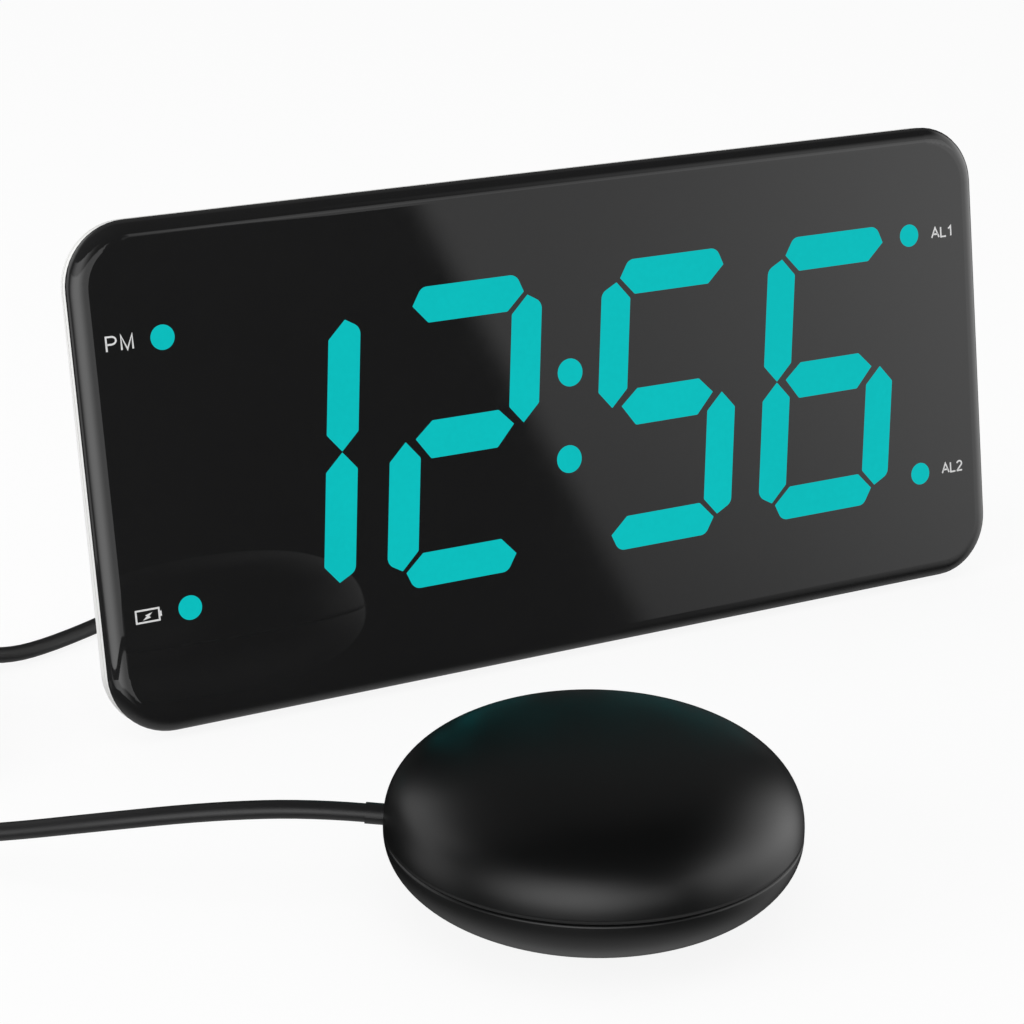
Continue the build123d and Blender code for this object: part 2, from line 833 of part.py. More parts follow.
foot_places = [
    (side * foot_across, clock_y + back)
    for side in (-1, 1)
    for back in (foot_front, foot_rear)
]
button_places = [
    (button_first + button_pitch * i, button_height)
    for i in range(len(button_names))
]
board_boss_places = [
    (across, height)
    for across in (board_boss_left, board_boss_right)
    for height in (board_boss_low, board_boss_high)
]
bay_middle = (bay_left + bay_length / 2, bay_floor + bay_height / 2)
wheel_back = stand_depth + wheel_proud - wheel_radius
wheel_half_slot = math.sqrt(wheel_radius**2 - (stand_inner - wheel_back) ** 2) + moving_gap
with BuildPart() as rear_cover:
    add(tray_form.part)
    add(box_form.part)
    add(stand_form.part)
    # hollow tray
    with BuildSketch(leaned(cover_front)):
        with Locations((0, middle_up)):
            RectangleRounded(rim_width - 2 * wall, rim_height - 2 * wall, rim_corner - wall)
    extrude(amount=-(tray_back_high - wall - cover_front), mode=Mode.SUBTRACT)
    # hollow box
    with BuildSketch(leaned(cover_front)):
        with Locations((0, middle_up)):
            hollow_inset = 2 * (box_inset + wall)
            RectangleRounded(panel_width - hollow_inset, panel_height - hollow_inset, box_corner - wall)
    extrude(amount=-(box_inner_back - cover_front), mode=Mode.SUBTRACT)
    # hollow stand
    with BuildSketch(Plane.YZ):
        with BuildLine():
            Polyline(
                (leaned_y(stand_floor, cover_front), stand_floor),
                (clock_y + stand_inner, stand_floor),
                (clock_y + stand_inner, stand_top - wall),
                (leaned_y(stand_top - wall, cover_front), stand_top - wall),
                close=True,
            )
        make_face()
    extrude(amount=stand_half_width - wall, both=True, mode=Mode.SUBTRACT)
    # ring that holds the speaker
    with BuildSketch(upright(stand_inner)):
        with Locations((speaker_across, speaker_height)):
            Circle(speaker_radius + speaker_ring_gap + speaker_ring_wall)
            Circle(speaker_radius + speaker_ring_gap, mode=Mode.SUBTRACT)
    extrude(amount=speaker_ring_depth)
    # bosses of the main board
    with BuildSketch(upright(stand_inner)):
        with Locations(*board_boss_places):
            Circle(board_boss_radius)
    extrude(amount=stand_inner - board_back)
    # shelf under the snooze bar
    with BuildSketch(Plane.XY.offset(shelf_top - shelf_thickness)):
        with Locations((0, clock_y + (shelf_front + stand_inner) / 2)):
            Rectangle(2 * shelf_half_width, stand_inner - shelf_front)
    extrude(amount=shelf_thickness)
    # battery bay
    with BuildSketch(upright(stand_inner)):
        with Locations(bay_middle):
            Rectangle(bay_length + 2 * bay_wall, bay_height + 2 * bay_wall)
    extrude(amount=bay_depth + bay_wall - wall)
    with BuildSketch(upright(stand_depth)):
        with Locations(bay_middle):
            Rectangle(bay_length, bay_height)
    extrude(amount=bay_depth, mode=Mode.SUBTRACT)
    # openings through the rear wall
    with BuildSketch(upright(stand_depth)):
        with Locations(*button_places):
            Circle(button_radius + moving_gap)
        with Locations((slider_across, slider_height)):
            slot_length = slider_nub_length + 2 * (slider_travel + moving_gap)
            Rectangle(slot_length, slider_nub_width + 2 * moving_gap)
        with Locations((wheel_across, wheel_height)):
            Rectangle(wheel_width + 2 * moving_gap, 2 * wheel_half_slot)
        with Locations((shaker_socket_across, socket_height)):
            Circle(shaker_socket_nose + socket_hole_gap)
        with Locations((usb_across, socket_height)):
            Rectangle(usb_width + 2 * socket_hole_gap, usb_height + 2 * socket_hole_gap)
        with Locations((power_across, socket_height)):
            Circle(power_nose + socket_hole_gap)
        with Locations((speaker_across, speaker_height)):
            Circle(grille_hole_radius)
            for ring in range(1, grille_ring_count + 1):
                with PolarLocations(grille_pitch * ring, 6 * ring):
                    Circle(grille_hole_radius)
    extrude(amount=wall, mode=Mode.SUBTRACT)
    # slot for the snooze bar
    with BuildSketch(Plane.XY.offset(stand_top - wall)):
        with Locations((0, clock_y + snooze_back)):
            SlotOverall(snooze_length + 2 * moving_gap, snooze_depth + 2 * moving_gap)
    extrude(amount=wall, mode=Mode.SUBTRACT)
    # pilot holes of the main board's screws
    with BuildSketch(upright(board_back)):
        with Locations(*board_boss_places):
            Circle(board_screw_radius + screw_gap)
    extrude(amount=-board_screw_length, mode=Mode.SUBTRACT)
    # holes and sunk seats of the housing screws
    with BuildSketch(leaned(box_back)):
        with Locations(*boss_places):
            Circle(screw_radius + screw_pass_gap)
    extrude(amount=wall, mode=Mode.SUBTRACT)
    with BuildSketch(leaned(box_back)):
        with Locations(*boss_places):
            Circle(screw_head_radius + screw_head_gap)
    extrude(amount=screw_head_sink, mode=Mode.SUBTRACT)
    # seats of the rubber feet
    with BuildSketch(Plane.XY.offset(panel_lift)):
        with Locations(*foot_places):
            Circle(foot_radius + running_gap)
    extrude(amount=foot_sink, mode=Mode.SUBTRACT)
save(rear_cover.part, "rear_cover")

with BuildPart() as rubber_feet:
    with BuildSketch(Plane.XY):
        with Locations(*foot_places):
            Circle(foot_radius)
    extrude(amount=panel_lift + foot_sink)
save(rubber_feet.part, "rubber_feet")


def screw_solids(seat_plane, places, radius, head_radius, head_height, length):
    """Pan screws whose heads stand on this plane and whose shanks run on behind it."""
    with BuildPart() as screws:
        with BuildSketch(seat_plane):
            with Locations(*places):
                Circle(head_radius)
        extrude(amount=head_height)
        with BuildSketch(seat_plane):
            with Locations(*places):
                Circle(radius)
        extrude(amount=-length)
        with BuildSketch(seat_plane.offset(head_height)):
            with Locations(*places):
                Rectangle(head_radius * 2 * cross_length_share, radius * cross_width_share)
                Rectangle(radius * cross_width_share, head_radius * 2 * cross_length_share)
        extrude(amount=-head_height * cross_depth_share, mode=Mode.SUBTRACT)
    return screws.part


# Screws: four hold the rear cover, eight hold the two boards
cross_length_share = 0.6
cross_width_share = 0.5
cross_depth_share = 0.5
housing_seat = leaned(box_back - screw_head_sink)
housing_seat_back = Plane(
    origin=housing_seat.origin,
    x_dir=housing_seat.x_dir,
    z_dir=-housing_seat.z_dir,
)
housing_screws = screw_solids(
    housing_seat_back,
    [(x, -y) for x, y in boss_places],
    screw_radius,
    screw_head_radius,
    screw_head_height,
    housing_screw_length,
)
save(housing_screws, "housing_screws")

display_seat = leaned(display_board_back)
display_seat_back = Plane(
    origin=display_seat.origin,
    x_dir=display_seat.x_dir,
    z_dir=-display_seat.z_dir,
)
display_screws = screw_solids(
    display_seat_back,
    [(x, -y) for x, y in display_screw_places],
    board_screw_radius,
    board_screw_head_radius,
    board_screw_head_height,
    board_screw_length,
)
main_screws = screw_solids(
    upright(board_back - board_thickness),
    board_boss_places,
    board_screw_radius,
    board_screw_head_radius,
    board_screw_head_height,
    board_screw_length,
)
save(Compound(children=[*display_screws.solids(), *main_screws.solids()]), "board_screws")

# Snooze bar: a long key with a flange that keeps it in its slot
flange_top = stand_top - wall - running_gap
with BuildPart() as snooze_bar:
    with BuildSketch(Plane.XY.offset(flange_top)):
        with Locations((0, clock_y + snooze_back)):
            SlotOverall(snooze_length, snooze_depth)
    extrude(amount=stand_top + snooze_proud - flange_top)
    fillet(snooze_bar.faces().sort_by(Axis.Z)[-1].edges(), snooze_proud / 2)
    with BuildSketch(Plane.XY.offset(flange_top)):
        with Locations((0, clock_y + snooze_back)):
            Rectangle(snooze_length + 2 * snooze_flange_width, snooze_depth + 2 * snooze_flange_depth)
    extrude(amount=-snooze_flange)
save(snooze_bar.part, "snooze_bar")

# Two coil springs lift the snooze bar
spring_seat = shelf_top + spring_wire / 2
spring_height = flange_top - snooze_flange - shelf_top - spring_wire
with BuildPart() as snooze_springs:
    for side in (-1, 1):
        seat = Plane(origin=(side * spring_across, clock_y + snooze_back, spring_seat))
        with BuildLine() as spring_line:
            for arc in wound_arcs(seat, spring_radius, spring_height / spring_half_turns, spring_half_turns):
                ThreePointArc(*arc)
        with BuildSketch(Plane(origin=spring_line.line @ 0, z_dir=spring_line.line % 0)):
            Circle(spring_wire / 2)
        sweep(path=spring_line.line)
save(snooze_springs.part, "snooze_springs")
snooze_spring_gap = self_gap(spring_line.wire(), spring_wire / 2, 2 * spring_radius)
print("snooze_springs least gap", round(snooze_spring_gap, 2))

# Snooze switch on the shelf
with BuildPart() as snooze_switch:
    with BuildSketch(Plane.XY.offset(shelf_top)):
        with Locations((0, clock_y + snooze_back)):
            RectangleRounded(tact_side, tact_side, tact_corner)
    extrude(amount=tact_height)
    with BuildSketch(Plane.XY.offset(shelf_top + tact_height)):
        with Locations((0, clock_y + snooze_back)):
            Circle(plunger_radius)
    extrude(amount=plunger_rise / 2)
save(snooze_switch.part, "snooze_switch")

# Main board with the parts on its front, and the switches on its back
with BuildPart() as main_board:
    with BuildSketch(upright(board_back)):
        with Locations(((board_left + board_right) / 2, (board_low + board_high) / 2)):
            Rectangle(board_right - board_left, board_high - board_low)
        with Locations(*board_boss_places):
            Circle(board_screw_radius + screw_pass_gap, mode=Mode.SUBTRACT)
    extrude(amount=board_thickness)
save(main_board.part, "main_board")

# Parts on the front of the main board, as shares of its width and height
component_shares = [
    (0.372, 0.503, 0.128, 0.355),
    (0.606, 0.68, 0.064, 0.148),
    (0.16, 0.325, 0.064, 0.148),
    (0.585, 0.385, 0.085, 0.095),
    (0.798, 0.266, 0.053, 0.178),
]
capacitor_shares = [(0.755, 0.62), (0.85, 0.62), (0.16, 0.68)]
board_width = board_right - board_left
board_tall = board_high - board_low
board_front = board_back - board_thickness
with BuildPart() as board_components:
    with BuildSketch(upright(board_front)):
        for across_share, up_share, width_share, tall_share in component_shares:
            place = (board_left + across_share * board_width, board_low + up_share * board_tall)
            with Locations(place):
                Rectangle(width_share * board_width, tall_share * board_tall)
    extrude(amount=chip_height)
    with BuildSketch(upright(board_front)):
        with Locations((ribbon_across, ribbon_socket_up)):
            Rectangle(ribbon_width + 2 * ribbon_socket_border, ribbon_socket_tall)
    extrude(amount=ribbon_socket_height)
    with BuildSketch(upright(board_front)):
        for across_share, up_share in capacitor_shares:
            place = (board_left + across_share * board_width, board_low + up_share * board_tall)
            with Locations(place):
                Circle(capacitor_radius)
    extrude(amount=capacitor_height)
save(board_components.part, "board_components")

with BuildPart() as button_switches:
    with BuildSketch(upright(board_back)):
        with Locations(*button_places):
            RectangleRounded(tact_side, tact_side, tact_corner)
    extrude(amount=-tact_height)
    with BuildSketch(upright(board_back + tact_height)):
        with Locations(*button_places):
            Circle(plunger_radius)
    extrude(amount=-plunger_rise)
save(button_switches.part, "button_switches")

# Five round set buttons, each with a flange behind the wall and a stem
flange_back = stand_inner - running_gap
stem_end = board_back + tact_height + plunger_rise + button_travel + moving_gap
for name, place in zip(button_names, button_places):
    with BuildPart() as set_button:
        with BuildSketch(upright(flange_back)):
            with Locations(place):
                Circle(button_radius)
        extrude(amount=-(stand_depth + button_proud - flange_back))
        fillet(set_button.faces().sort_by(Axis.Y)[-1].edges(), button_round)
        with BuildSketch(upright(flange_back)):
            with Locations(place):
                Circle(button_radius + button_flange_width)
        extrude(amount=button_flange)
        with BuildSketch(upright(flange_back)):
            with Locations(place):
                Circle(button_stem_radius)
        extrude(amount=flange_back - stem_end)
    save(set_button.part, f"button_{name}")

# Sound mode switch: a sliding knob over its switch body
with BuildPart() as mode_switch_body:
    with BuildSketch(upright(board_back)):
        with Locations((slider_across, slider_height)):
            Rectangle(slider_body_length, slider_body_width)
    extrude(amount=-slider_body_height)
save(mode_switch_body.part, "mode_switch_body")

slider_foot = board_back + slider_body_height + slider_gap
with BuildPart() as mode_switch_knob:
    with BuildSketch(upright(slider_foot)):
        with Locations((slider_across, slider_height)):
            Rectangle(slider_nub_length, slider_nub_width)
    extrude(amount=-(stand_depth + slider_proud - slider_foot))
    with BuildSketch(upright(stand_inner - slider_gap)):
        with Locations((slider_across, slider_height)):
            Rectangle(slider_guard_length, slider_guard_width)
    extrude(amount=slider_guard_thickness)
    chamfer(mode_switch_knob.faces().sort_by(Axis.Y)[-1].edges(), slider_proud / 4)
save(mode_switch_knob.part, "mode_switch_knob")

# Dimmer: a notched wheel on a short shaft in its potentiometer
wheel_left = wheel_across - wheel_width / 2
pot_left = wheel_across + wheel_width / 2 + pot_gap
with BuildPart() as dimmer_wheel:
    with BuildSketch(Plane.YZ.offset(wheel_left)):
        with Locations((clock_y + wheel_back, wheel_height)):
            Circle(wheel_radius)
            with PolarLocations(wheel_radius, wheel_notch_count):
                Circle(notch_radius, mode=Mode.SUBTRACT)
    extrude(amount=wheel_width)
    with BuildSketch(Plane.YZ.offset(wheel_left)):
        with Locations((clock_y + wheel_back, wheel_height)):
            Circle(wheel_shaft_radius)
    extrude(amount=wheel_width + pot_width)
save(dimmer_wheel.part, "dimmer_wheel")

with BuildPart() as dimmer_potentiometer:
    with BuildSketch(Plane.YZ.offset(pot_left)):
        with Locations((clock_y + board_back + pot_depth / 2, wheel_height)):
            Rectangle(pot_depth, pot_height)
        with Locations((clock_y + wheel_back, wheel_height)):
            Circle(wheel_shaft_radius + running_gap, mode=Mode.SUBTRACT)
    extrude(amount=pot_width)
save(dimmer_potentiometer.part, "dimmer_potentiometer")

# Speaker: steel basket, paper cone and magnet, all turned about one line
speaker_section, speaker_axis = turned_about(speaker_across, speaker_height)
basket_front = stand_inner - speaker_flange
basket_rear = basket_front - basket_depth
with BuildPart() as speaker_basket:
    with BuildSketch(speaker_section):
        with BuildLine():
            Polyline(
                (speaker_radius, stand_inner),
                (speaker_radius, basket_front),
                (cone_radius + 2 * basket_wall, basket_front),
                (magnet_radius + basket_wall, basket_rear),
                (0, basket_rear),
                (0, basket_rear + basket_wall),
                (magnet_radius, basket_rear + basket_wall),
                (cone_radius + basket_wall, basket_front),
                (cone_radius + basket_wall, stand_inner),
                close=True,
            )
        make_face()
    revolve(axis=speaker_axis)
save(speaker_basket.part, "speaker_basket")

with BuildPart() as speaker_cone:
    with BuildSketch(speaker_section):
        with BuildLine():
            Polyline(
                (cone_radius, basket_front),
                (cone_radius, basket_front - cone_wall),
                (dust_cap_radius, basket_front - cone_depth),
                (0, basket_front - cone_depth),
                (0, basket_front - cone_depth + 2 * cone_wall),
                (dust_cap_radius, basket_front - cone_depth + cone_wall),
                (cone_radius - cone_wall, basket_front),
                close=True,
            )
        make_face()
    revolve(axis=speaker_axis)
save(speaker_cone.part, "speaker_cone")

with BuildPart() as speaker_magnet:
    with BuildSketch(upright(basket_rear)):
        with Locations((speaker_across, speaker_height)):
            Circle(magnet_radius)
    extrude(amount=magnet_depth)
    chamfer(speaker_magnet.faces().sort_by(Axis.Y)[0].edges(), basket_wall)
save(speaker_magnet.part, "speaker_magnet")

# Rechargeable cell, its two contacts and the door over them
cell_back = stand_depth - door_thickness - moving_gap - cell_radius
cell_height = bay_floor + bay_height / 2
cell_left = bay_left + cell_start
cell_length = bay_length - cell_start - cell_end
cell_right = cell_left + cell_length
with BuildPart() as battery_cell:
    with BuildSketch(Plane.YZ.offset(cell_left)):
        with Locations((clock_y + cell_back, cell_height)):
            Circle(cell_radius)
    extrude(amount=cell_length)
    fillet(battery_cell.edges(), cell_nub_length / 2)
    with BuildSketch(Plane.YZ.offset(cell_right)):
        with Locations((clock_y + cell_back, cell_height)):
            Circle(cell_nub_radius)
    extrude(amount=cell_nub_length)
save(battery_cell.part, "battery_cell")

bay_right = bay_left + bay_length
contact_run = cell_left - bay_left - contact_thickness - spring_wire / 2 - running_gap
contact_middle = (clock_y + cell_back, cell_height)
with BuildPart() as battery_contacts:
    with BuildSketch(Plane.YZ.offset(bay_left)):
        with Locations(contact_middle):
            Rectangle(contact_side, contact_side)
    extrude(amount=contact_thickness)
    coil_seat = Plane(
        origin=(bay_left + contact_thickness, *contact_middle),
        x_dir=(0, 1, 0),
        z_dir=(1, 0, 0),
    )
    with BuildLine() as contact_line:
        contact_rise = contact_run / contact_spring_half_turns
        for arc in wound_arcs(coil_seat, contact_spring_radius, contact_rise, contact_spring_half_turns):
            ThreePointArc(*arc)
    with BuildSketch(Plane(origin=contact_line.line @ 0, z_dir=contact_line.line % 0)):
        Circle(spring_wire / 2)
    sweep(path=contact_line.line)
    with BuildSketch(Plane.YZ.offset(bay_right)):
        with Locations(contact_middle):
            Rectangle(contact_side, contact_side)
    extrude(amount=-contact_thickness)
    with BuildSketch(Plane.YZ.offset(bay_right)):
        with Locations(contact_middle):
            Circle(contact_dimple_radius)
    extrude(amount=cell_right + cell_nub_length + running_gap - bay_right)
save(battery_contacts.part, "battery_contacts")
contact_spring_gap = self_gap(contact_line.wire(), spring_wire / 2, 2 * contact_spring_radius)
print("battery_contacts least gap", round(contact_spring_gap, 2))

with BuildPart() as battery_door:
    with BuildSketch(upright(stand_depth)):
        with Locations(bay_middle):
            Rectangle(bay_length - 2 * moving_gap, bay_height - 2 * moving_gap)
    extrude(amount=door_thickness)
    with BuildSketch(upright(stand_depth)):
        rib_top = bay_floor + bay_height - moving_gap - 2 * door_rib_pitch
        for rib in range(door_rib_count):
            with Locations((bay_middle[0], rib_top - rib * door_rib_pitch)):
                SlotOverall(door_rib_length, door_rib)
    extrude(amount=-door_rib)
save(battery_door.part, "battery_door")

# Socket board and its three sockets
with BuildPart() as socket_board:
    with BuildSketch(upright(socket_board_back)):
        middle = ((socket_board_left + socket_board_right) / 2, (socket_board_low + socket_board_high) / 2)
        with Locations(middle):
            Rectangle(socket_board_right - socket_board_left, socket_board_high - socket_board_low)
    extrude(amount=board_thickness)
save(socket_board.part, "socket_board")

socket_body = stand_inner - socket_board_back
with BuildPart() as shaker_socket:
    with BuildSketch(upright(socket_board_back)):
        with Locations((shaker_socket_across, socket_height)):
            Rectangle(shaker_socket_side, shaker_socket_side)
    extrude(amount=-socket_body)
    with BuildSketch(upright(stand_inner)):
        with Locations((shaker_socket_across, socket_height)):
            Circle(shaker_socket_nose)
    extrude(amount=-(socket_face - stand_inner))
    with BuildSketch(upright(socket_face)):
        with Locations((shaker_socket_across, socket_height)):
            Circle(shaker_socket_bore)
    extrude(amount=shaker_socket_deep, mode=Mode.SUBTRACT)
save(shaker_socket.part, "shaker_socket")

with BuildPart() as usb_socket:
    with BuildSketch(upright(socket_board_back)):
        with Locations((usb_across, socket_height)):
            Rectangle(usb_width, usb_height)
    extrude(amount=-(socket_face - socket_board_back))
    with BuildSketch(upright(socket_face)):
        with Locations((usb_across, socket_height)):
            Rectangle(usb_width - 2 * usb_wall, usb_height - 2 * usb_wall)
    extrude(amount=usb_deep, mode=Mode.SUBTRACT)
    with BuildSketch(upright(socket_face - usb_deep)):
        with Locations((usb_across, socket_height + usb_tongue / 2)):
            Rectangle(usb_tongue_width, usb_tongue)
    extrude(amount=-usb_tongue_length)
save(usb_socket.part, "usb_socket")

with BuildPart() as power_socket:
    with BuildSketch(upright(socket_board_back)):
        with Locations((power_across, socket_height)):
            Rectangle(power_side, power_side)
    extrude(amount=-socket_body)
    with BuildSketch(upright(stand_inner)):
        with Locations((power_across, socket_height)):
            Circle(power_nose)
    extrude(amount=-(socket_face - stand_inner))
    with BuildSketch(upright(socket_face)):
        with Locations((power_across, socket_height)):
            Circle(power_bore)
    extrude(amount=power_deep, mode=Mode.SUBTRACT)
    with BuildSketch(upright(socket_face - power_deep)):
        with Locations((power_across, socket_height)):
            Circle(power_pin)
    extrude(amount=-power_pin_length)
save(power_socket.part, "power_socket")

# Ribbon from the display board to its socket on the main board
ribbon_end = clock_y + board_front - ribbon_socket_height
ribbon_points = [
    side_point(ribbon_rise, display_board_back),
    side_point(ribbon_rise, display_board_back + ribbon_run),
    (ribbon_end - ribbon_run, ribbon_socket_up),
    (ribbon_end, ribbon_socket_up),
]
with BuildPart() as display_ribbon:
    with BuildLine(Plane.YZ.offset(ribbon_across)) as ribbon_line:
        FilletPolyline(*ribbon_points, radius=ribbon_bend)
    with BuildSketch(Plane(origin=ribbon_line.line @ 0, x_dir=(1, 0, 0), z_dir=ribbon_line.line % 0)):
        Rectangle(ribbon_width, ribbon_thickness)
    sweep(path=ribbon_line.line)
save(display_ribbon.part, "display_ribbon")

# Two leads from the speaker to the main board's edge
lead_start = speaker_across + magnet_radius
lead_third = (board_left - lead_start) / 3
lead_back = clock_y + board_back - board_thickness / 2
with BuildPart() as speaker_leads:
    for side in (-1, 1):
        height = speaker_height + side * 2 * lead_radius
        with BuildLine() as lead_line:
            FilletPolyline(
                (lead_start, lead_back, height),
                (lead_start + lead_third, lead_back, height),
                (board_left - lead_third, lead_back, height - lead_drop),
                (board_left, lead_back, height - lead_drop),
                radius=lead_bend,
            )
        with BuildSketch(Plane(origin=lead_line.line @ 0, z_dir=lead_line.line % 0)):
            Circle(lead_radius)
        sweep(path=lead_line.line)
save(speaker_leads.part, "speaker_leads")

# Puck: two shells of revolution about an upright line through its middle
puck_plane = Plane(origin=(puck_x, puck_y, 0), x_dir=(1, 0, 0), z_dir=(0, -1, 0))
puck_axis = Axis((puck_x, puck_y, 0), (0, 0, 1))
dome_base = puck_seam + puck_seam_gap
outer_dome = shell_points(puck_radius, dome_height, dome_fullness_share)
inner_dome = shell_points(puck_radius - wall, dome_height - wall, dome_fullness_share)
outer_belly = shell_points(puck_radius, belly_height, belly_fullness_share)
inner_belly = shell_points(puck_radius - wall, belly_height - wall, belly_fullness_share)
puck_bosses = [
    (puck_x + across * puck_boss_across, puck_y + along * puck_boss_along)
    for across in (-1, 1)
    for along in (-1, 1)
]

boss_edge = math.hypot(puck_boss_across, puck_boss_along) + puck_boss_radius
boss_top = dome_base + shell_rise(puck_radius, dome_height, dome_fullness_share, boss_edge) - wall / 4

# Cord collar: where it leaves the dome, and the way it points
collar_turn = math.radians(collar_angle)
collar_tilt = math.radians(collar_rise)
collar_way = Vector(
    math.cos(collar_turn) * math.cos(collar_tilt),
    math.sin(collar_turn) * math.cos(collar_tilt),
    math.sin(collar_tilt),
)
collar_end = Vector(
    puck_x + collar_reach * math.cos(collar_turn),
    puck_y + collar_reach * math.sin(collar_turn),
    collar_height,
)


def collar_plane(behind):
    """Plane across the collar, this far behind its outer end."""
    return Plane(origin=collar_end - collar_way * behind, z_dir=collar_way)


with BuildPart() as puck_top_shell:
    with BuildSketch(puck_plane):
        with BuildLine():
            Spline(*[(r, dome_base + z) for r, z in outer_dome], tangents=((0, 1), (-1, 0)))
            Line((0, dome_base + dome_height), (0, dome_base + dome_height - wall))
            Spline(*[(r, dome_base + z) for r, z in reversed(inner_dome)], tangents=((1, 0), (0, -1)))
            Line((puck_radius - wall, dome_base), (puck_radius, dome_base))
        make_face()
    revolve(axis=puck_axis)
    with BuildSketch(Plane.XY.offset(puck_boss_split)):
        with Locations(*puck_bosses):
            Circle(puck_boss_radius)
    extrude(amount=boss_top - puck_boss_split)
    with BuildSketch(Plane.XY.offset(puck_boss_split)):
        with Locations(*puck_bosses):
            Circle(puck_screw_radius + screw_gap)
    extrude(amount=puck_screw_length - (puck_boss_split - puck_floor), mode=Mode.SUBTRACT)
    with BuildSketch(collar_plane(0)):
        Circle(collar_radius + running_gap)
    extrude(amount=-collar_inner, mode=Mode.SUBTRACT)
save(puck_top_shell.part, "puck_top_shell")

# Base shell: flat underneath, with a lip inside the seam, bosses and motor saddles
lip_outer = puck_radius - wall - lip_gap
saddle_starts = (motor_front - motor_length + cradle_rib, motor_front - 2 * cradle_rib)
with BuildPart() as puck_base_shell:
    with BuildSketch(puck_plane):
        with BuildLine():
            Spline(*[(r, puck_seam - z) for r, z in outer_belly], tangents=((0, -1), (-1, 0)))
            Line((0, puck_seam - belly_height), (0, puck_seam - belly_height + wall))
            Spline(*[(r, puck_seam - z) for r, z in reversed(inner_belly)], tangents=((1, 0), (0, 1)))
            Line((puck_radius - wall, puck_seam), (puck_radius, puck_seam))
        make_face()
        # lip that the dome slips over
        with Locations((lip_outer - lip_wall / 2, puck_seam)):
            Rectangle(lip_wall, 2 * lip_height)
        with BuildLine():
            Polyline(
                (lip_outer - lip_wall, puck_seam - lip_height),
                (lip_outer, puck_seam - lip_height),
                (puck_radius - wall / 2, puck_seam - lip_height),
                (puck_radius - wall / 2, puck_seam),
                (lip_outer - lip_wall, puck_seam),
                close=True,
            )
        make_face()
    revolve(axis=puck_axis)
    # flat floor inside the belly
    with BuildSketch(puck_plane):
        with BuildLine():
            floor_drop = puck_seam - puck_floor
            floor_edge = shell_radius(
                puck_radius - wall / 2,
                belly_height - wall / 2,
                belly_fullness_share,
                floor_drop,
            )
            Polyline(
                (0, puck_base_lift),
                (pad_radius + wall, puck_base_lift),
                (floor_edge, puck_floor),
                (0, puck_floor),
                close=True,
            )
        make_face()
    revolve(axis=puck_axis)
    # everything under the flat base is cut away, and the pad has a shallow seat
    with BuildSketch(Plane.XY.offset(puck_base_lift)):
        with Locations((puck_x, puck_y)):
            Circle(puck_radius)
    extrude(amount=-belly_height, mode=Mode.SUBTRACT)
    with BuildSketch(Plane.XY.offset(puck_base_lift)):
        with Locations((puck_x, puck_y)):
            Circle(pad_radius + pad_gap)
    extrude(amount=pad_recess, mode=Mode.SUBTRACT)
    # screw bosses
    with BuildSketch(Plane.XY.offset(puck_floor)):
        with Locations(*puck_bosses):
            Circle(puck_boss_radius)
    extrude(amount=puck_boss_split - puck_floor)
    with BuildSketch(Plane.XY.offset(puck_boss_split)):
        with Locations(*puck_bosses):
            Circle(puck_screw_radius + screw_pass_gap)
    extrude(amount=-puck_boss_split, mode=Mode.SUBTRACT)
    with BuildSketch(Plane.XY.offset(puck_floor)):
        with Locations(*puck_bosses):
            Circle(puck_screw_head_radius + screw_head_gap)
    extrude(amount=-puck_floor, mode=Mode.SUBTRACT)
    # two saddles under the motor
    for start in saddle_starts:
        with BuildSketch(Plane.YZ.offset(puck_x + start)):
            with Locations((puck_y, (puck_floor + motor_height) / 2)):
                Rectangle(2 * cradle_half_width, motor_height - puck_floor)
            with Locations((puck_y, motor_height)):
                Circle(motor_radius + cradle_gap, mode=Mode.SUBTRACT)
        extrude(amount=cradle_rib)
    # notch round the cord's collar
    with BuildSketch(collar_plane(0)):
        Circle(collar_radius + moving_gap)
    extrude(amount=-collar_inner, mode=Mode.SUBTRACT)
save(puck_base_shell.part, "puck_base_shell")

# Pad under the puck, and its four screws, with their heads sunk in the base
with BuildPart() as puck_foot_pad:
    with BuildSketch(Plane.XY):
        with Locations((puck_x, puck_y)):
            Circle(pad_radius)
    extrude(amount=pad_thickness)
    chamfer(puck_foot_pad.faces().sort_by(Axis.Z)[0].edges(), pad_thickness / 4)
save(puck_foot_pad.part, "puck_foot_pad")

puck_screw_seat = Plane(origin=(0, 0, puck_floor), x_dir=(1, 0, 0), z_dir=(0, 0, -1))
puck_screws = screw_solids(
    puck_screw_seat,
    [(x, -y) for x, y in puck_bosses],
    puck_screw_radius,
    puck_screw_head_radius,
    puck_screw_head_height,
    puck_screw_length,
)
save(puck_screws, "puck_screws")

# Vibration motor: its can, its end cap with two terminals, and the strap that holds it
motor_left = puck_x + motor_front - motor_length
motor_middle = (puck_y, motor_height)
with BuildPart() as motor_can:
    with BuildSketch(Plane.YZ.offset(motor_left)):
        with Locations(motor_middle):
            Circle(motor_radius)
            Circle(shaft_radius + running_gap, mode=Mode.SUBTRACT)
    extrude(amount=motor_length)
    motor_rims = motor_can.edges().filter_by(GeomType.CIRCLE).group_by(SortBy.RADIUS)[-1]
    chamfer(motor_rims, motor_edge)
save(motor_can.part, "motor_can")

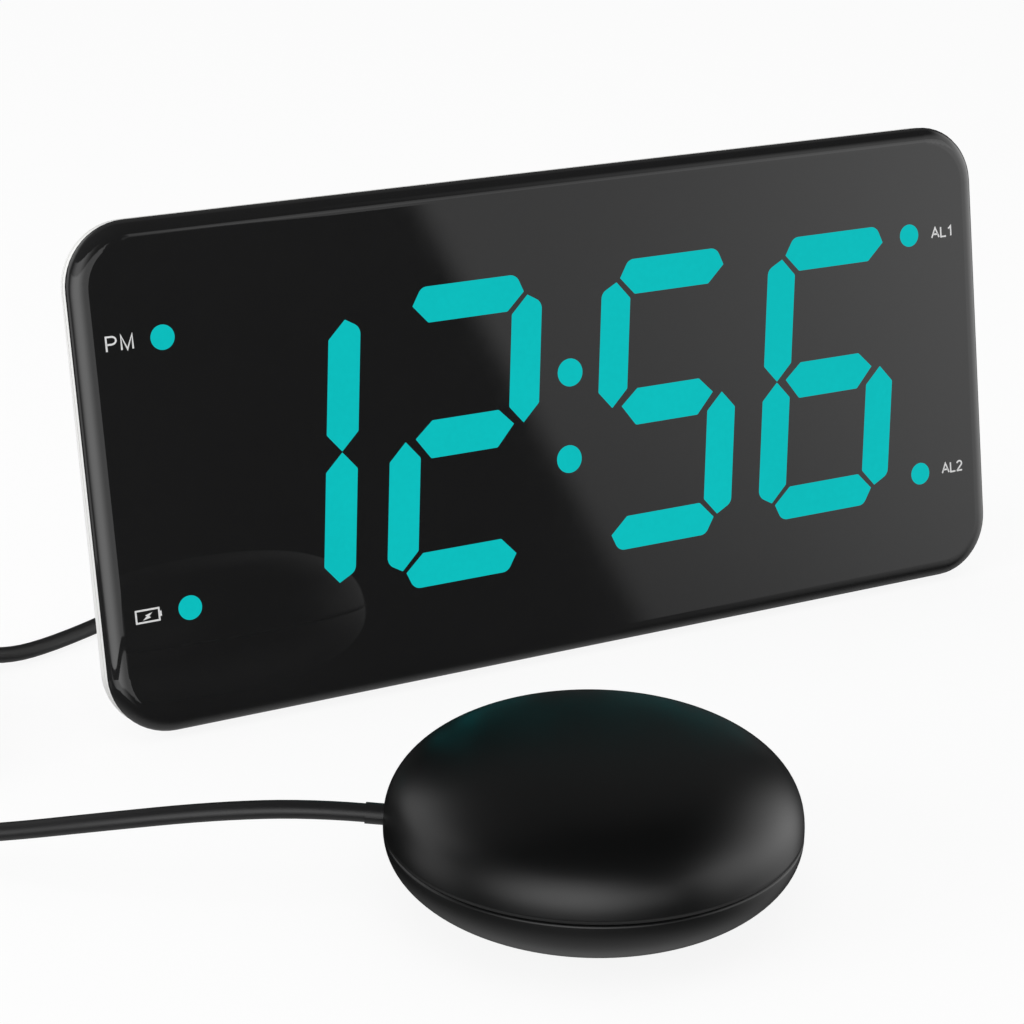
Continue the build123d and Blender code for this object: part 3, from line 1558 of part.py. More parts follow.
cap_left = motor_left - end_cap_length
terminal_places = [
    (puck_y + side * terminal_spread, motor_height + side * terminal_step)
    for side in (-1, 1)
]
with BuildPart() as motor_end_cap:
    with BuildSketch(Plane.YZ.offset(motor_left)):
        with Locations(motor_middle):
            Circle(end_cap_radius)
    extrude(amount=-end_cap_length)
    with BuildSketch(Plane.YZ.offset(cap_left)):
        with Locations(motor_middle):
            Circle(end_cap_nub_radius)
    extrude(amount=-end_cap_nub_length)
    with BuildSketch(Plane.YZ.offset(motor_left)):
        with Locations(motor_middle):
            Circle(shaft_radius + running_gap)
    extrude(amount=-(end_cap_length + 2 * shaft_inside), mode=Mode.SUBTRACT)
    with BuildSketch(Plane.YZ.offset(cap_left)):
        with Locations(*terminal_places):
            Rectangle(terminal_width, terminal_thickness)
    extrude(amount=-terminal_length)
save(motor_end_cap.part, "motor_end_cap")

with BuildPart() as motor_clamp:
    with BuildSketch(Plane.YZ.offset(puck_x + clamp_start)):
        with Locations(motor_middle):
            Circle(motor_radius + cradle_gap + clamp_wall)
        with Locations((puck_y, (puck_floor + motor_height) / 2)):
            Rectangle(2 * (motor_radius + cradle_gap + clamp_wall), motor_height - puck_floor)
            Rectangle(2 * (motor_radius + cradle_gap), motor_height - puck_floor, mode=Mode.SUBTRACT)
        with Locations(motor_middle):
            Circle(motor_radius + cradle_gap, mode=Mode.SUBTRACT)
    extrude(amount=clamp_width)
save(motor_clamp.part, "motor_clamp")

# Rotor: the shaft, and a heavy half disc on it that hangs low at rest
with BuildPart() as motor_shaft:
    with BuildSketch(Plane.YZ.offset(cap_left - shaft_inside)):
        with Locations(motor_middle):
            Circle(shaft_radius)
    extrude(amount=puck_x + shaft_end - cap_left + shaft_inside)
save(motor_shaft.part, "motor_shaft")

with BuildPart() as eccentric_weight:
    with BuildSketch(Plane.YZ.offset(puck_x + weight_start)):
        with Locations(motor_middle):
            Circle(weight_radius)
        with Locations((puck_y, motor_height + weight_radius / 2)):
            Rectangle(2 * weight_radius, weight_radius, mode=Mode.SUBTRACT)
        with Locations(motor_middle):
            Circle(weight_hub_radius)
            Circle(shaft_radius, mode=Mode.SUBTRACT)
    extrude(amount=weight_width)
save(eccentric_weight.part, "eccentric_weight")

# Cord collar: a rubber sleeve held between the two shells by the flange behind it
with BuildPart() as puck_collar:
    with BuildSketch(collar_plane(collar_inner)):
        Circle(collar_radius)
    extrude(amount=collar_inner)
    with BuildSketch(collar_plane(collar_flange_start)):
        Circle(collar_flange_radius)
    extrude(amount=-collar_flange)
save(puck_collar.part, "puck_collar")

# Two leads from the collar to the motor's terminals
collar_back = collar_end - collar_way * collar_inner
collar_up = (Vector(0, 0, 1) - collar_way * collar_way.Z).normalized()
terminal_end = cap_left - terminal_length
with BuildPart() as puck_leads:
    for side, place in zip((-1, 1), terminal_places):
        lead_from = collar_back + collar_up * side * puck_lead_apart
        lead_to = Vector(terminal_end, *place)
        with BuildLine() as lead_line:
            FilletPolyline(
                lead_from,
                lead_from - collar_way * puck_lead_run,
                lead_to - Vector(puck_lead_run, 0, 0),
                lead_to,
                radius=puck_lead_bend,
            )
        with BuildSketch(Plane(origin=lead_line.line @ 0, z_dir=lead_line.line % 0)):
            Circle(lead_radius)
        sweep(path=lead_line.line)
save(puck_leads.part, "puck_leads")

# Plug of the shaker's cord, in its socket at the back of the clock
plug_section, plug_axis = turned_about(shaker_socket_across, socket_height)
plug_face = stand_depth + plug_gap
plug_end = plug_face + plug_length + plug_taper
with BuildPart() as shaker_plug:
    with BuildSketch(plug_section):
        with BuildLine():
            Polyline(
                (0, plug_face),
                (plug_radius, plug_face),
                (plug_radius, plug_face + plug_length),
                (plug_tail_radius, plug_end),
                (0, plug_end),
                close=True,
            )
        make_face()
    revolve(axis=plug_axis)
    plug_rims = shaker_plug.edges().filter_by(GeomType.CIRCLE).group_by(SortBy.RADIUS)[-1]
    fillet(plug_rims, plug_round)
    for grip in range(plug_grip_count):
        grip_back = plug_face + plug_grip_pitch * (grip + 1)
        with BuildSketch(upright(grip_back)):
            with Locations((shaker_socket_across, socket_height)):
                Circle(plug_radius + overrun)
                Circle(plug_radius - plug_grip_depth, mode=Mode.SUBTRACT)
        extrude(amount=-plug_grip_width, mode=Mode.SUBTRACT)
save(shaker_plug.part, "shaker_plug")

with BuildPart() as shaker_plug_pin:
    with BuildSketch(upright(plug_face)):
        with Locations((shaker_socket_across, socket_height)):
            Circle(plug_pin_radius)
    extrude(amount=plug_pin_length)
    chamfer(shaker_plug_pin.faces().sort_by(Axis.Y)[0].edges(), plug_pin_tip)
    for ring in (1, 2):
        with BuildSketch(upright(plug_face - plug_pin_length + ring * plug_pin_ring_pitch)):
            with Locations((shaker_socket_across, socket_height)):
                Circle(plug_pin_radius + overrun)
                Circle(plug_pin_radius - plug_pin_groove, mode=Mode.SUBTRACT)
        extrude(amount=plug_pin_groove_width, mode=Mode.SUBTRACT)
save(shaker_plug_pin.part, "shaker_plug_pin")

# Coil of the spare cord: four layers that spiral in and out, clockwise from above
coil_low = tie_thickness + tie_gap + cord_radius
coil_turns = [
    (6, -coil_step / 2),
    (1, 0),
    (6, coil_step / 2),
    (1, 0),
    (6, -coil_step / 2),
    (1, 0),
    (5, coil_step / 2),
]
coil_start_radius = coil_radius + coil_step / 4
coil_middle = Vector(-coil_left, coil_back, 0)
with BuildPart() as cord_coil:
    with BuildLine() as coil_line:
        corner = coil_middle + Vector(-coil_start_radius, -coil_step / 4, coil_low)
        Line(corner - Vector(0, coil_lead, 0), corner)
        quarter = Vector(1 - math.sqrt(1 / 2), math.sqrt(1 / 2)) * coil_start_radius
        here = coil_middle + Vector(0, coil_radius, coil_low)
        ThreePointArc(corner, corner + quarter, here)
        side = 1
        reach = coil_radius
        for turns, step in coil_turns:
            for turn in range(turns):
                rise = coil_layer if step == 0 else 0
                reach += step
                there = Vector(here.X, coil_back - side * reach, here.Z + rise)
                bulge = Vector(side * (there - here).length / 2, 0, 0)
                ThreePointArc(here, (here + there) / 2 + bulge, there)
                here = there
                side = -side
        coil_exit = here + Vector(coil_lead, 0, 0)
        Line(here, coil_exit)
    with BuildSketch(Plane(origin=coil_line.line @ 0, z_dir=coil_line.line % 0)):
        Circle(cord_radius)
    sweep(path=coil_line.line)
save(cord_coil.part, "cord_coil")
coil_entry = corner - Vector(0, coil_lead, 0)
coil_wire = coil_line.wire()
print("cord_coil length", round(coil_wire.length, 1), "from", coil_entry, "to", coil_exit)
print("cord_coil least gap", round(self_gap(coil_wire, cord_radius, 4 * coil_step), 2))

# Tie round the coil
tie_turn = math.radians(tie_angle)
tie_way = Vector(math.cos(tie_turn), math.sin(tie_turn), 0)
tie_plane = Plane(origin=coil_middle, x_dir=tie_way, z_dir=Vector(tie_way.Y, -tie_way.X, 0))
coil_hole = coil_radius - 3 * coil_step - cord_radius
tie_inner = math.sqrt(coil_hole**2 - (tie_width / 2) ** 2) - tie_gap
tie_outer = coil_radius + cord_radius + tie_gap
tie_top = coil_low + 3 * coil_layer + cord_radius + tie_gap
with BuildPart() as cord_tie:
    with BuildSketch(tie_plane):
        with Locations(((tie_inner + tie_outer) / 2, (tie_top + tie_thickness) / 2)):
            tie_span = tie_outer - tie_inner
            tie_tall = tie_top - tie_thickness
            RectangleRounded(tie_span + 2 * tie_thickness, tie_tall + 2 * tie_thickness, cord_radius)
            RectangleRounded(tie_span, tie_tall, cord_radius - tie_thickness, mode=Mode.SUBTRACT)
    extrude(amount=tie_width / 2, both=True)
save(cord_tie.part, "cord_tie")

# Free stretches of the cord, as runs joined by arcs as large as the runs allow
puck_route = [
    collar_end,
    collar_end + collar_way * cord_first_run,
    Vector(-104.9, -21.3, 15.7),
    Vector(-121.0, -10.0, 12.25),
    Vector(-134.5, 2.0, 8.0),
    Vector(-152.0, 16.5, 4.2),
    Vector(-167.5, 31.5, 2.2),
    Vector(coil_entry.X, 44.0, coil_entry.Z),
    coil_entry,
]
clock_route = [
    Vector(shaker_socket_across, clock_y + plug_end, socket_height),
    Vector(-11.0, 118.0, 13.0),
    Vector(-22.0, 133.0, 7.0),
    Vector(-44.0, 133.5, 2.4),
    Vector(-70.0, 103.0, 1.65),
    Vector(-98.0, 88.5, 1.65),
    Vector(-110.0, 86.0, 2.0),
    Vector(-121.5, 84.3, 7.6),
    Vector(-132.0, coil_exit.Y, coil_exit.Z),
    coil_exit,
]


def route_radii(points):
    """Radius for each corner of a cord's route, from its shorter run and its turn."""
    radii = []
    for before, at, after in zip(points, points[1:], points[2:]):
        turn = math.radians((at - before).get_angle(after - at))
        shorter = min((at - before).length, (after - at).length)
        radii.append(cord_bend_share * shorter / math.tan(turn / 2))
    return radii


for name, route in (("cord_to_puck", puck_route), ("cord_to_clock", clock_route)):
    radii = route_radii(route)
    with BuildPart() as cord_stretch:
        with BuildLine() as route_line:
            FilletPolyline(*route, radius=radii)
        with BuildSketch(Plane(origin=route_line.line @ 0, z_dir=route_line.line % 0)):
            Circle(cord_radius)
        sweep(path=route_line.line)
    save(cord_stretch.part, name)
    run_lengths = [round((b - a).length, 1) for a, b in zip(route, route[1:])]
    route_length = route_line.wire().length
    tube_volume = math.pi * cord_radius**2 * route_length
    print(name, "length", round(route_length, 1), "runs", run_lengths)
    print(name, "radii", [round(radius, 1) for radius in radii])
    print(name, "volume over section times length", round(cord_stretch.part.volume / tube_volume, 4))
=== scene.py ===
# %% [markdown]
# # A bed shaker alarm clock
# A wide display leans back on its own stand. A round shaker, the puck, lies in front of it on
# a cord and goes under a mattress to wake its owner by trembling. The solid model is loaded
# first and stays where it is. This script dresses it: a camera, a small photo studio, the
# cord, printed words, ribs, and a finish for every piece.
# All lengths are in metres. X runs along the display, Y away from the reader, Z up.

# %% Load the solid model
import json
import math

import bmesh
import bpy
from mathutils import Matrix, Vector


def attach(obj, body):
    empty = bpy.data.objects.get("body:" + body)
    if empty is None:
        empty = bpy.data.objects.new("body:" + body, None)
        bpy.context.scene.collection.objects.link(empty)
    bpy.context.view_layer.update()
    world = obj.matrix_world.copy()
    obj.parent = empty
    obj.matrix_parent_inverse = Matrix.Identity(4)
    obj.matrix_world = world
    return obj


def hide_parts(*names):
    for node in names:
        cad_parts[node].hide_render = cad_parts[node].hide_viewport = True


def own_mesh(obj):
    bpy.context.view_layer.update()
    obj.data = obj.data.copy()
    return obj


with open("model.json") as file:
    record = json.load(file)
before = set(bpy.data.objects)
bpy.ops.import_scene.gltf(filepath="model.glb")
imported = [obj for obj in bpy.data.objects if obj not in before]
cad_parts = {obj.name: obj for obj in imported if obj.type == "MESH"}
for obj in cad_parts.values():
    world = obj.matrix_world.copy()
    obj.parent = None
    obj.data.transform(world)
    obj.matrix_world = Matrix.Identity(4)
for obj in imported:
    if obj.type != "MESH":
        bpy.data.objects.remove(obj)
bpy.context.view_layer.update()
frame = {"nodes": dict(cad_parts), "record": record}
nodes = frame["nodes"]
mm = 0.001

# %% [markdown]
# ## Camera
# The photograph was taken from a little to the left and above. The place and the focal
# length come from the panel's four corners and the puck's outline in it. A long lens keeps
# the panel's edges nearly parallel, as there.

# %% Camera
sensor_width = 36
focal_length = 94.25
camera_place = (-0.246517, -0.397123, 0.215849)
camera_turns = (69.729, -0.252, -27.5693)
camera_data = bpy.data.cameras.new("Photo_Camera")
camera_data.sensor_width = sensor_width
camera_data.lens = focal_length
camera = bpy.data.objects.new("Photo_Camera", camera_data)
camera.location = camera_place
camera.rotation_euler = [math.radians(turn) for turn in camera_turns]
bpy.context.scene.collection.objects.link(camera)
bpy.context.scene.camera = camera
bpy.context.scene.view_settings.view_transform = "Standard"
print("camera looks along", camera.rotation_euler.to_matrix() @ Vector((0, 0, -1)))

# %% [markdown]
# ## The cord
# One black lead of about 1.8 m joins the puck to its socket at the back of the clock. It
# could be a mesh tube, but a NURBS curve with a round bevel stays smooth at any distance.
# Its control points are the route that the solid model follows: from the puck's collar, out
# of view on the left, round a neat coil of spare cord, and back behind the clock.

# %% The cord's route
cord_diameter = 3.2 * mm
puck_route = [
    (-82.623, -32.65, 15.36),
    (-90.717, -28.703, 16.259),
    (-104.9, -21.3, 15.7),
    (-121.0, -10.0, 12.25),
    (-134.5, 2.0, 8.0),
    (-152.0, 16.5, 4.2),
    (-167.5, 31.5, 2.2),
    (-172.8, 44.0, 2.5),
    (-172.8, 56.7, 2.5),
]
clock_route = [
    (-143.8, 83.5, 13.9),
    (-132.0, 83.5, 13.9),
    (-121.5, 84.3, 8.5),
    (-110.0, 86.0, 2.8),
    (-98.0, 88.5, 1.9),
    (-70.0, 103.0, 1.65),
    (-44.0, 133.5, 2.4),
    (-22.0, 133.0, 7.0),
    (-11.0, 118.0, 13.0),
    (-11.0, 103.975, 13.0),
]
coil_middle = Vector((-147.0, 61.0, 0.0))
coil_radius = 24.7
coil_step = 4.4
coil_layer = 3.8
coil_low = 2.5
points_per_half_turn = 8
points_per_quarter = points_per_half_turn // 2
# control points lie a little outside the curve that they pull
corner_reach = 1 / math.cos(math.pi / (2 * points_per_half_turn))


def arc_points(here, there, side, count):
    """Control points of a half turn from here to there, which bulges to this side."""
    middle = (here + there) / 2
    along = here - middle
    along.z = 0
    across = Vector((side * along.length, 0, 0))
    points = []
    for i in range(count):
        share = (i + 0.5) / count
        swing = along * math.cos(math.pi * share) + across * math.sin(math.pi * share)
        height = here.z + (there.z - here.z) * share
        points.append(Vector((middle.x, middle.y, height)) + swing * corner_reach)
    return points


# the first quarter turn, from the left side of the coil to its back
start_radius = coil_radius + coil_step / 4
start_middle = coil_middle + Vector((0, -coil_step / 4, coil_low))
coil_points = []
for i in range(points_per_quarter):
    turn = math.pi - math.pi / 2 * (i + 0.5) / points_per_quarter
    reach = start_radius * corner_reach
    coil_points.append(start_middle + Vector((math.cos(turn), math.sin(turn), 0)) * reach)

# then half turns: how many, and how far each one spirals in or out; no step climbs a layer
half_step = coil_step / 2
coil_plan = [
    (6, -half_step),
    (1, 0),
    (6, half_step),
    (1, 0),
    (6, -half_step),
    (1, 0),
    (5, half_step),
]
here = coil_middle + Vector((0, coil_radius, coil_low))
side = 1
reach = coil_radius
for half_turns, step in coil_plan:
    for i in range(half_turns):
        reach += step
        rise = coil_layer if step == 0 else 0
        there = Vector((coil_middle.x, coil_middle.y - side * reach, here.z + rise))
        coil_points += arc_points(here, there, side, points_per_half_turn)
        here = there
        side = -side

route = [Vector(point) for point in puck_route]
route += coil_points + [Vector(point) for point in clock_route]

# %% The cord
cord_curve = bpy.data.curves.new("shaker_cord", "CURVE")
cord_curve.dimensions = "3D"
spline = cord_curve.splines.new("NURBS")
spline.points.add(len(route) - 1)
# the tube's radius is the points' radius times the bevel's depth, and small point radii keep
# Blender's box of the curve as tight as the tube
for control, point in zip(spline.points, route):
    control.co = (*(point * mm), 1)
    control.radius = mm
spline.order_u = 3
spline.use_endpoint_u = True
spline.resolution_u = 6
cord_curve.bevel_depth = cord_diameter / 2 / mm
cord_curve.bevel_resolution = 5
shaker_cord = bpy.data.objects.new("shaker_cord", cord_curve)
bpy.context.scene.collection.objects.link(shaker_cord)
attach(shaker_cord, "root")
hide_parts("cord_to_puck", "cord_coil", "cord_to_clock")
print("cord control points", len(route))

# %% [markdown]
# ## Studio
# The floor is pale and matt, and the world is white, so the clock stands on white as in a
# shop's photograph. Most of the floor's light towards the camera is its own, and the rest is
# reflected light, which is what keeps a soft shadow.
# A black panel shows nothing but what it reflects. Photographers light such a thing with
# white cards in a dark room. Here one wide dome stands for the dark room and its cards. Only
# mirror-like rays see it, and its pattern is written in directions from the clock.


# %% Helpers for node trees
def add_node(tree, kind, **settings):
    """New node with these settings."""
    node = tree.nodes.new(kind)
    for name, value in settings.items():
        setattr(node, name, value)
    return node


def math_node(tree, operation, *values):
    """Math node whose inputs are numbers or other nodes' outputs; gives its output."""
    node = add_node(tree, "ShaderNodeMath", operation=operation)
    for socket, value in zip(node.inputs, values):
        if isinstance(value, (int, float)):
            socket.default_value = value
        else:
            tree.links.new(value, socket)
    return node.outputs[0]


def empty_material(name):
    """Material with only its output node; gives the material, its tree and the output."""
    material = bpy.data.materials.new(name)
    material.use_nodes = True
    tree = material.node_tree
    tree.nodes.clear()
    return material, tree, add_node(tree, "ShaderNodeOutputMaterial")


def background_rays(tree):
    """1 for the rays that should see a white background: camera, mirror and glass rays."""
    rays = add_node(tree, "ShaderNodeLightPath").outputs
    seen = math_node(tree, "MAXIMUM", rays["Is Camera Ray"], rays["Is Glossy Ray"])
    return math_node(tree, "MAXIMUM", seen, rays["Is Transmission Ray"])


# %% World
world = bpy.data.worlds.new("Studio_Air")
world.use_nodes = True
world_tree = world.node_tree
world_tree.nodes.clear()
air = add_node(world_tree, "ShaderNodeBackground")
white_share = background_rays(world_tree)
# what matt surfaces get from the world; the background itself is full white
air_level = 0.62
level = math_node(world_tree, "MULTIPLY_ADD", white_share, 1 - air_level, air_level)
world_tree.links.new(level, air.inputs["Strength"])
air.inputs["Color"].default_value = (1, 1, 1, 1)
world_out = add_node(world_tree, "ShaderNodeOutputWorld")
world_tree.links.new(air.outputs[0], world_out.inputs["Surface"])
world.cycles.sampling_method = "NONE"
bpy.context.scene.world = world
print("world: white to look at,", air_level, "for matt surfaces")


# %% Lamps
def soft_lamp(name, place, target, width, power):
    """Square lamp that lights matt surfaces and isn't seen in mirrors."""
    lamp_data = bpy.data.lights.new(name, "AREA")
    lamp_data.shape = "SQUARE"
    lamp_data.size = width
    lamp_data.energy = power
    lamp = bpy.data.objects.new(name, lamp_data)
    lamp.location = place
    lamp.rotation_euler = (Vector(target) - Vector(place)).to_track_quat("-Z", "Y").to_euler()
    lamp.visible_glossy = False
    bpy.context.scene.collection.objects.link(lamp)
    return lamp


clock_heart = (0, 0, 0.04)
soft_lamp("Overhead_Lamp", (-0.2, -0.3, 1.4), clock_heart, width=1.2, power=5)
soft_lamp("Left_Lamp", (-1.5, 0.1, 0.5), clock_heart, width=0.9, power=13)

# %% Floor
floor_reach = 4.0
paper_white = 0.86
own_light = 0.89
floor_mesh = bpy.data.meshes.new("Floor")
floor_mesh.from_pydata(
    [(x * floor_reach, y * floor_reach, 0) for x, y in ((-1, -1), (1, -1), (1, 1), (-1, 1))],
    [],
    [(0, 1, 2, 3)],
)
floor = bpy.data.objects.new("Floor", floor_mesh)
bpy.context.scene.collection.objects.link(floor)
floor_material, tree, out = empty_material("Floor_Paper")
paper = add_node(tree, "ShaderNodeBsdfDiffuse")
paper.inputs["Color"].default_value = (paper_white, paper_white, paper_white, 1)
glow = add_node(tree, "ShaderNodeEmission")
glow_share = math_node(tree, "MULTIPLY", background_rays(tree), own_light)
floor_mix = add_node(tree, "ShaderNodeMixShader")
tree.links.new(glow_share, floor_mix.inputs[0])
tree.links.new(paper.outputs[0], floor_mix.inputs[1])
tree.links.new(glow.outputs[0], floor_mix.inputs[2])
tree.links.new(floor_mix.outputs[0], out.inputs["Surface"])
floor_material.cycles.emission_sampling = "NONE"
floor_mesh.materials.append(floor_material)
floor.visible_glossy = False
print("floor", 2 * floor_reach, "m wide, own light", own_light)

# %% [markdown]
# The dome's cards are patches of light, each between two bearings and two heights in degrees.
# Two cards in front on the left make the light band down the panel's left edge and the sheen
# on the front of the puck. Their upper and lower edges are sharp, because the band ends
# sharply at the panel's corners. The cards on the right start with a leaning edge: they are
# the slanted light across the panel, which grows brighter to the right. A thin strip draws
# the line on the upper edge. The cards were placed by comparing renders with the photograph.

# %% Dome of cards
dome_radius = 12.0
dome_segments = 32
dome_rings = 16
bm = bmesh.new()
bmesh.ops.create_uvsphere(
    bm, u_segments=dome_segments, v_segments=dome_rings, radius=dome_radius
)
bmesh.ops.reverse_faces(bm, faces=bm.faces)
dome_mesh = bpy.data.meshes.new("Card_Dome")
bm.to_mesh(dome_mesh)
bm.free()
dome = bpy.data.objects.new("Card_Dome", dome_mesh)
bpy.context.scene.collection.objects.link(dome)
dome_material, tree, out = empty_material("Card_Dome")
place = add_node(tree, "ShaderNodeTexCoord").outputs["Object"]
split = add_node(tree, "ShaderNodeSeparateXYZ")
tree.links.new(place, split.inputs[0])
forward = math_node(tree, "MULTIPLY", split.outputs["Y"], -1.0)
bearing = math_node(tree, "DEGREES", math_node(tree, "ARCTAN2", split.outputs["X"], forward))
sine = math_node(tree, "DIVIDE", split.outputs["Z"], dome_radius)
elevation = math_node(tree, "DEGREES", math_node(tree, "ARCSINE", sine))
print("dome radius", dome_radius, "m")


# %% Helpers for cards
def smooth_rise(tree, value, low, high):
    """0 below low and 1 above high, with a soft step between."""
    node = add_node(tree, "ShaderNodeMapRange", interpolation_type="SMOOTHSTEP")
    tree.links.new(value, node.inputs["Value"])
    node.inputs["From Min"].default_value = low
    node.inputs["From Max"].default_value = high
    return node.outputs["Result"]


def card(tree, bearings, heights, brightness, lean=0.0):
    """Patch of light: where it starts, is full, starts to fade and ends, across and upwards."""
    across = math_node(tree, "MULTIPLY_ADD", elevation, lean, bearing) if lean else bearing
    patch = math_node(tree, "MULTIPLY", smooth_rise(tree, across, *bearings[:2]), brightness)
    fade = smooth_rise(tree, bearing, bearings[3], bearings[2])
    patch = math_node(tree, "MULTIPLY", patch, fade)
    patch = math_node(tree, "MULTIPLY", patch, smooth_rise(tree, elevation, *heights[:2]))
    fade = smooth_rise(tree, elevation, heights[3], heights[2])
    return math_node(tree, "MULTIPLY", patch, fade)


# %% The cards
cards = [
    # in front on the left: a broad card, and a brighter and taller one inside it
    card(tree, (-100, -60, 11.5, 12.5), (-11, -9, 17, 20), 0.95),
    card(tree, (-96, -42, -34, 4), (-19, -17, 33, 35), 1.55),
    # further round on the left, low down
    card(tree, (-145, -128, -112, -95), (-34, -8, 6, 14), 0.8),
    # on the right: the leaning edge, and the part that grows brighter
    card(tree, (26.2, 27.0, 88, 120), (-16, 4, 10, 26), 0.68, lean=0.36),
    card(tree, (26.2, 42, 96, 120), (-34, -6, 28, 46), 0.82),
    card(tree, (50, 72, 100, 122), (-56, -26, 18, 44), 0.45),
    # far left, and the strip above
    card(tree, (-179, -160, -130, -100), (4, 11, 26, 48), 1.0),
    card(tree, (17.0, 18.5, 58, 62), (13, 16, 24, 27), 0.6),
]
total = cards[0]
for patch in cards[1:]:
    total = math_node(tree, "ADD", total, patch)
# a little light from the pale floor below, and from the room behind
floor_light = 0.48
haze_light = 0.11
room_light = 0.004
below = math_node(tree, "MULTIPLY", smooth_rise(tree, elevation, -28, -68), floor_light)
behind = smooth_rise(tree, math_node(tree, "ABSOLUTE", bearing), 100, 130)
haze = math_node(tree, "MULTIPLY", behind, smooth_rise(tree, elevation, 10, 30))
haze = math_node(tree, "MULTIPLY", haze, smooth_rise(tree, elevation, 80, 70))
total = math_node(tree, "ADD", total, below)
haze = math_node(tree, "MULTIPLY_ADD", haze, haze_light, room_light)
total = math_node(tree, "ADD", total, haze)
dome_glow = add_node(tree, "ShaderNodeEmission")
tree.links.new(total, dome_glow.inputs["Strength"])
tree.links.new(dome_glow.outputs[0], out.inputs["Surface"])
dome_material.cycles.emission_sampling = "NONE"
dome_mesh.materials.append(dome_material)
dome.visible_camera = False
dome.visible_diffuse = False
dome.visible_shadow = False
dome.visible_transmission = False
dome.visible_volume_scatter = False
print("studio: floor, dome of", len(cards), "cards, two lamps")

# %% [markdown]
# ## Shader groups
# Moulded plastic, rubber and paint share one thing: a fine grain that catches the light, and
# a slow change of shade across the piece. Metals share a drawn grain. Each is one node group
# with its own inputs, so that every finish places it with its own numbers.


# %% Shader groups
def shader_group(name, inputs, outputs):
    """Empty shader group with float or vector sockets; gives tree, inputs and outputs."""
    group = bpy.data.node_groups.new(name, "ShaderNodeTree")
    for socket, kind, value in inputs:
        made = group.interface.new_socket(name=socket, in_out="INPUT", socket_type=kind)
        if value is not None:
            made.default_value = value
    for socket in outputs:
        group.interface.new_socket(name=socket, in_out="OUTPUT", socket_type="NodeSocketFloat")
    start = group.nodes.new("NodeGroupInput")
    end = group.nodes.new("NodeGroupOutput")
    return group, start.outputs, end.inputs


def noise(tree, vector, scale, detail):
    """Noise texture whose scale is a number or an output; gives its value."""
    node = add_node(tree, "ShaderNodeTexNoise")
    node.inputs["Detail"].default_value = detail
    tree.links.new(vector, node.inputs["Vector"])
    if isinstance(scale, (int, float)):
        node.inputs["Scale"].default_value = scale
    else:
        tree.links.new(scale, node.inputs["Scale"])
    return node.outputs["Fac"]


grain_group, given, result = shader_group(
    "Moulded_Grain",
    [
        ("Place", "NodeSocketVector", None),
        ("Grains per metre", "NodeSocketFloat", 3000.0),
        ("Cloud size", "NodeSocketFloat", 30.0),
    ],
    ["Height", "Shade"],
)
fine_share = 0.35
cloud_share = 0.65
grain = noise(grain_group, given["Place"], given["Grains per metre"], 2)
grain_group.links.new(grain, result["Height"])
cloud = noise(grain_group, given["Place"], given["Cloud size"], 3)
fine = noise(grain_group, given["Place"], given["Grains per metre"], 1)
clouds = math_node(grain_group, "MULTIPLY", cloud, cloud_share)
shade = math_node(grain_group, "MULTIPLY_ADD", fine, fine_share, clouds)
grain_group.links.new(smooth_rise(grain_group, shade, 0.3, 0.7), result["Shade"])

drawn_group, given, result = shader_group(
    "Drawn_Metal",
    [("Place", "NodeSocketVector", None), ("Lines per metre", "NodeSocketFloat", 2500.0)],
    ["Height", "Shade"],
)
along_the_draw = 0.06
stains_per_metre = 90.0
stretch = add_node(drawn_group, "ShaderNodeMapping")
stretch.inputs["Scale"].default_value = (along_the_draw, 1, 1)
drawn_group.links.new(given["Place"], stretch.inputs["Vector"])
lines = noise(drawn_group, stretch.outputs["Vector"], given["Lines per metre"], 2)
drawn_group.links.new(lines, result["Height"])
stain = noise(drawn_group, given["Place"], stains_per_metre, 4)
drawn_group.links.new(smooth_rise(drawn_group, stain, 0.3, 0.75), result["Shade"])
print("groups", [group.name for group in bpy.data.node_groups])

# %% [markdown]
# ## Finishes
# One function makes every moulded finish: its colour drifts a little between two shades, its
# roughness drifts with it, and its grain is a bump of real depth. Constants such as the
# sheen of the gloss are set on the shader itself.


# %% Finish makers
finishes = {}


def finish_base(name, group, per_metre):
    """Material with a Principled shader and a group on object coordinates."""
    material, tree, out = empty_material(name)
    shader = add_node(tree, "ShaderNodeBsdfPrincipled")
    tree.links.new(shader.outputs[0], out.inputs["Surface"])
    effect = add_node(tree, "ShaderNodeGroup", node_tree=group)
    place = add_node(tree, "ShaderNodeTexCoord").outputs["Object"]
    tree.links.new(place, effect.inputs["Place"])
    effect.inputs[1].default_value = per_metre
    finishes[name] = material
    return tree, shader, effect


# the colour sockets of a Mix node, which come after those for numbers and vectors
first_colour, second_colour, mixed_colour = 6, 7, 2


def shaded_colour(tree, shade, colour, spread):
    """Colour that drifts by this share to either side with the shade; gives its output."""
    mix = add_node(tree, "ShaderNodeMix", data_type="RGBA")
    tree.links.new(shade, mix.inputs["Factor"])
    darker = [channel * (1 - spread) for channel in colour]
    lighter = [min(channel * (1 + spread), 1) for channel in colour]
    mix.inputs[first_colour].default_value = (*darker, 1)
    mix.inputs[second_colour].default_value = (*lighter, 1)
    return mix.outputs[mixed_colour]


def drift(tree, shader, shade, colour, spread, roughness, rough_spread):
    """Colour and roughness drift with the shade of the effect."""
    drifting = shaded_colour(tree, shade, colour, spread)
    tree.links.new(drifting, shader.inputs["Base Color"])
    node = add_node(tree, "ShaderNodeMapRange")
    tree.links.new(shade, node.inputs["Value"])
    node.inputs["To Min"].default_value = roughness - rough_spread
    node.inputs["To Max"].default_value = roughness + rough_spread
    tree.links.new(node.outputs["Result"], shader.inputs["Roughness"])


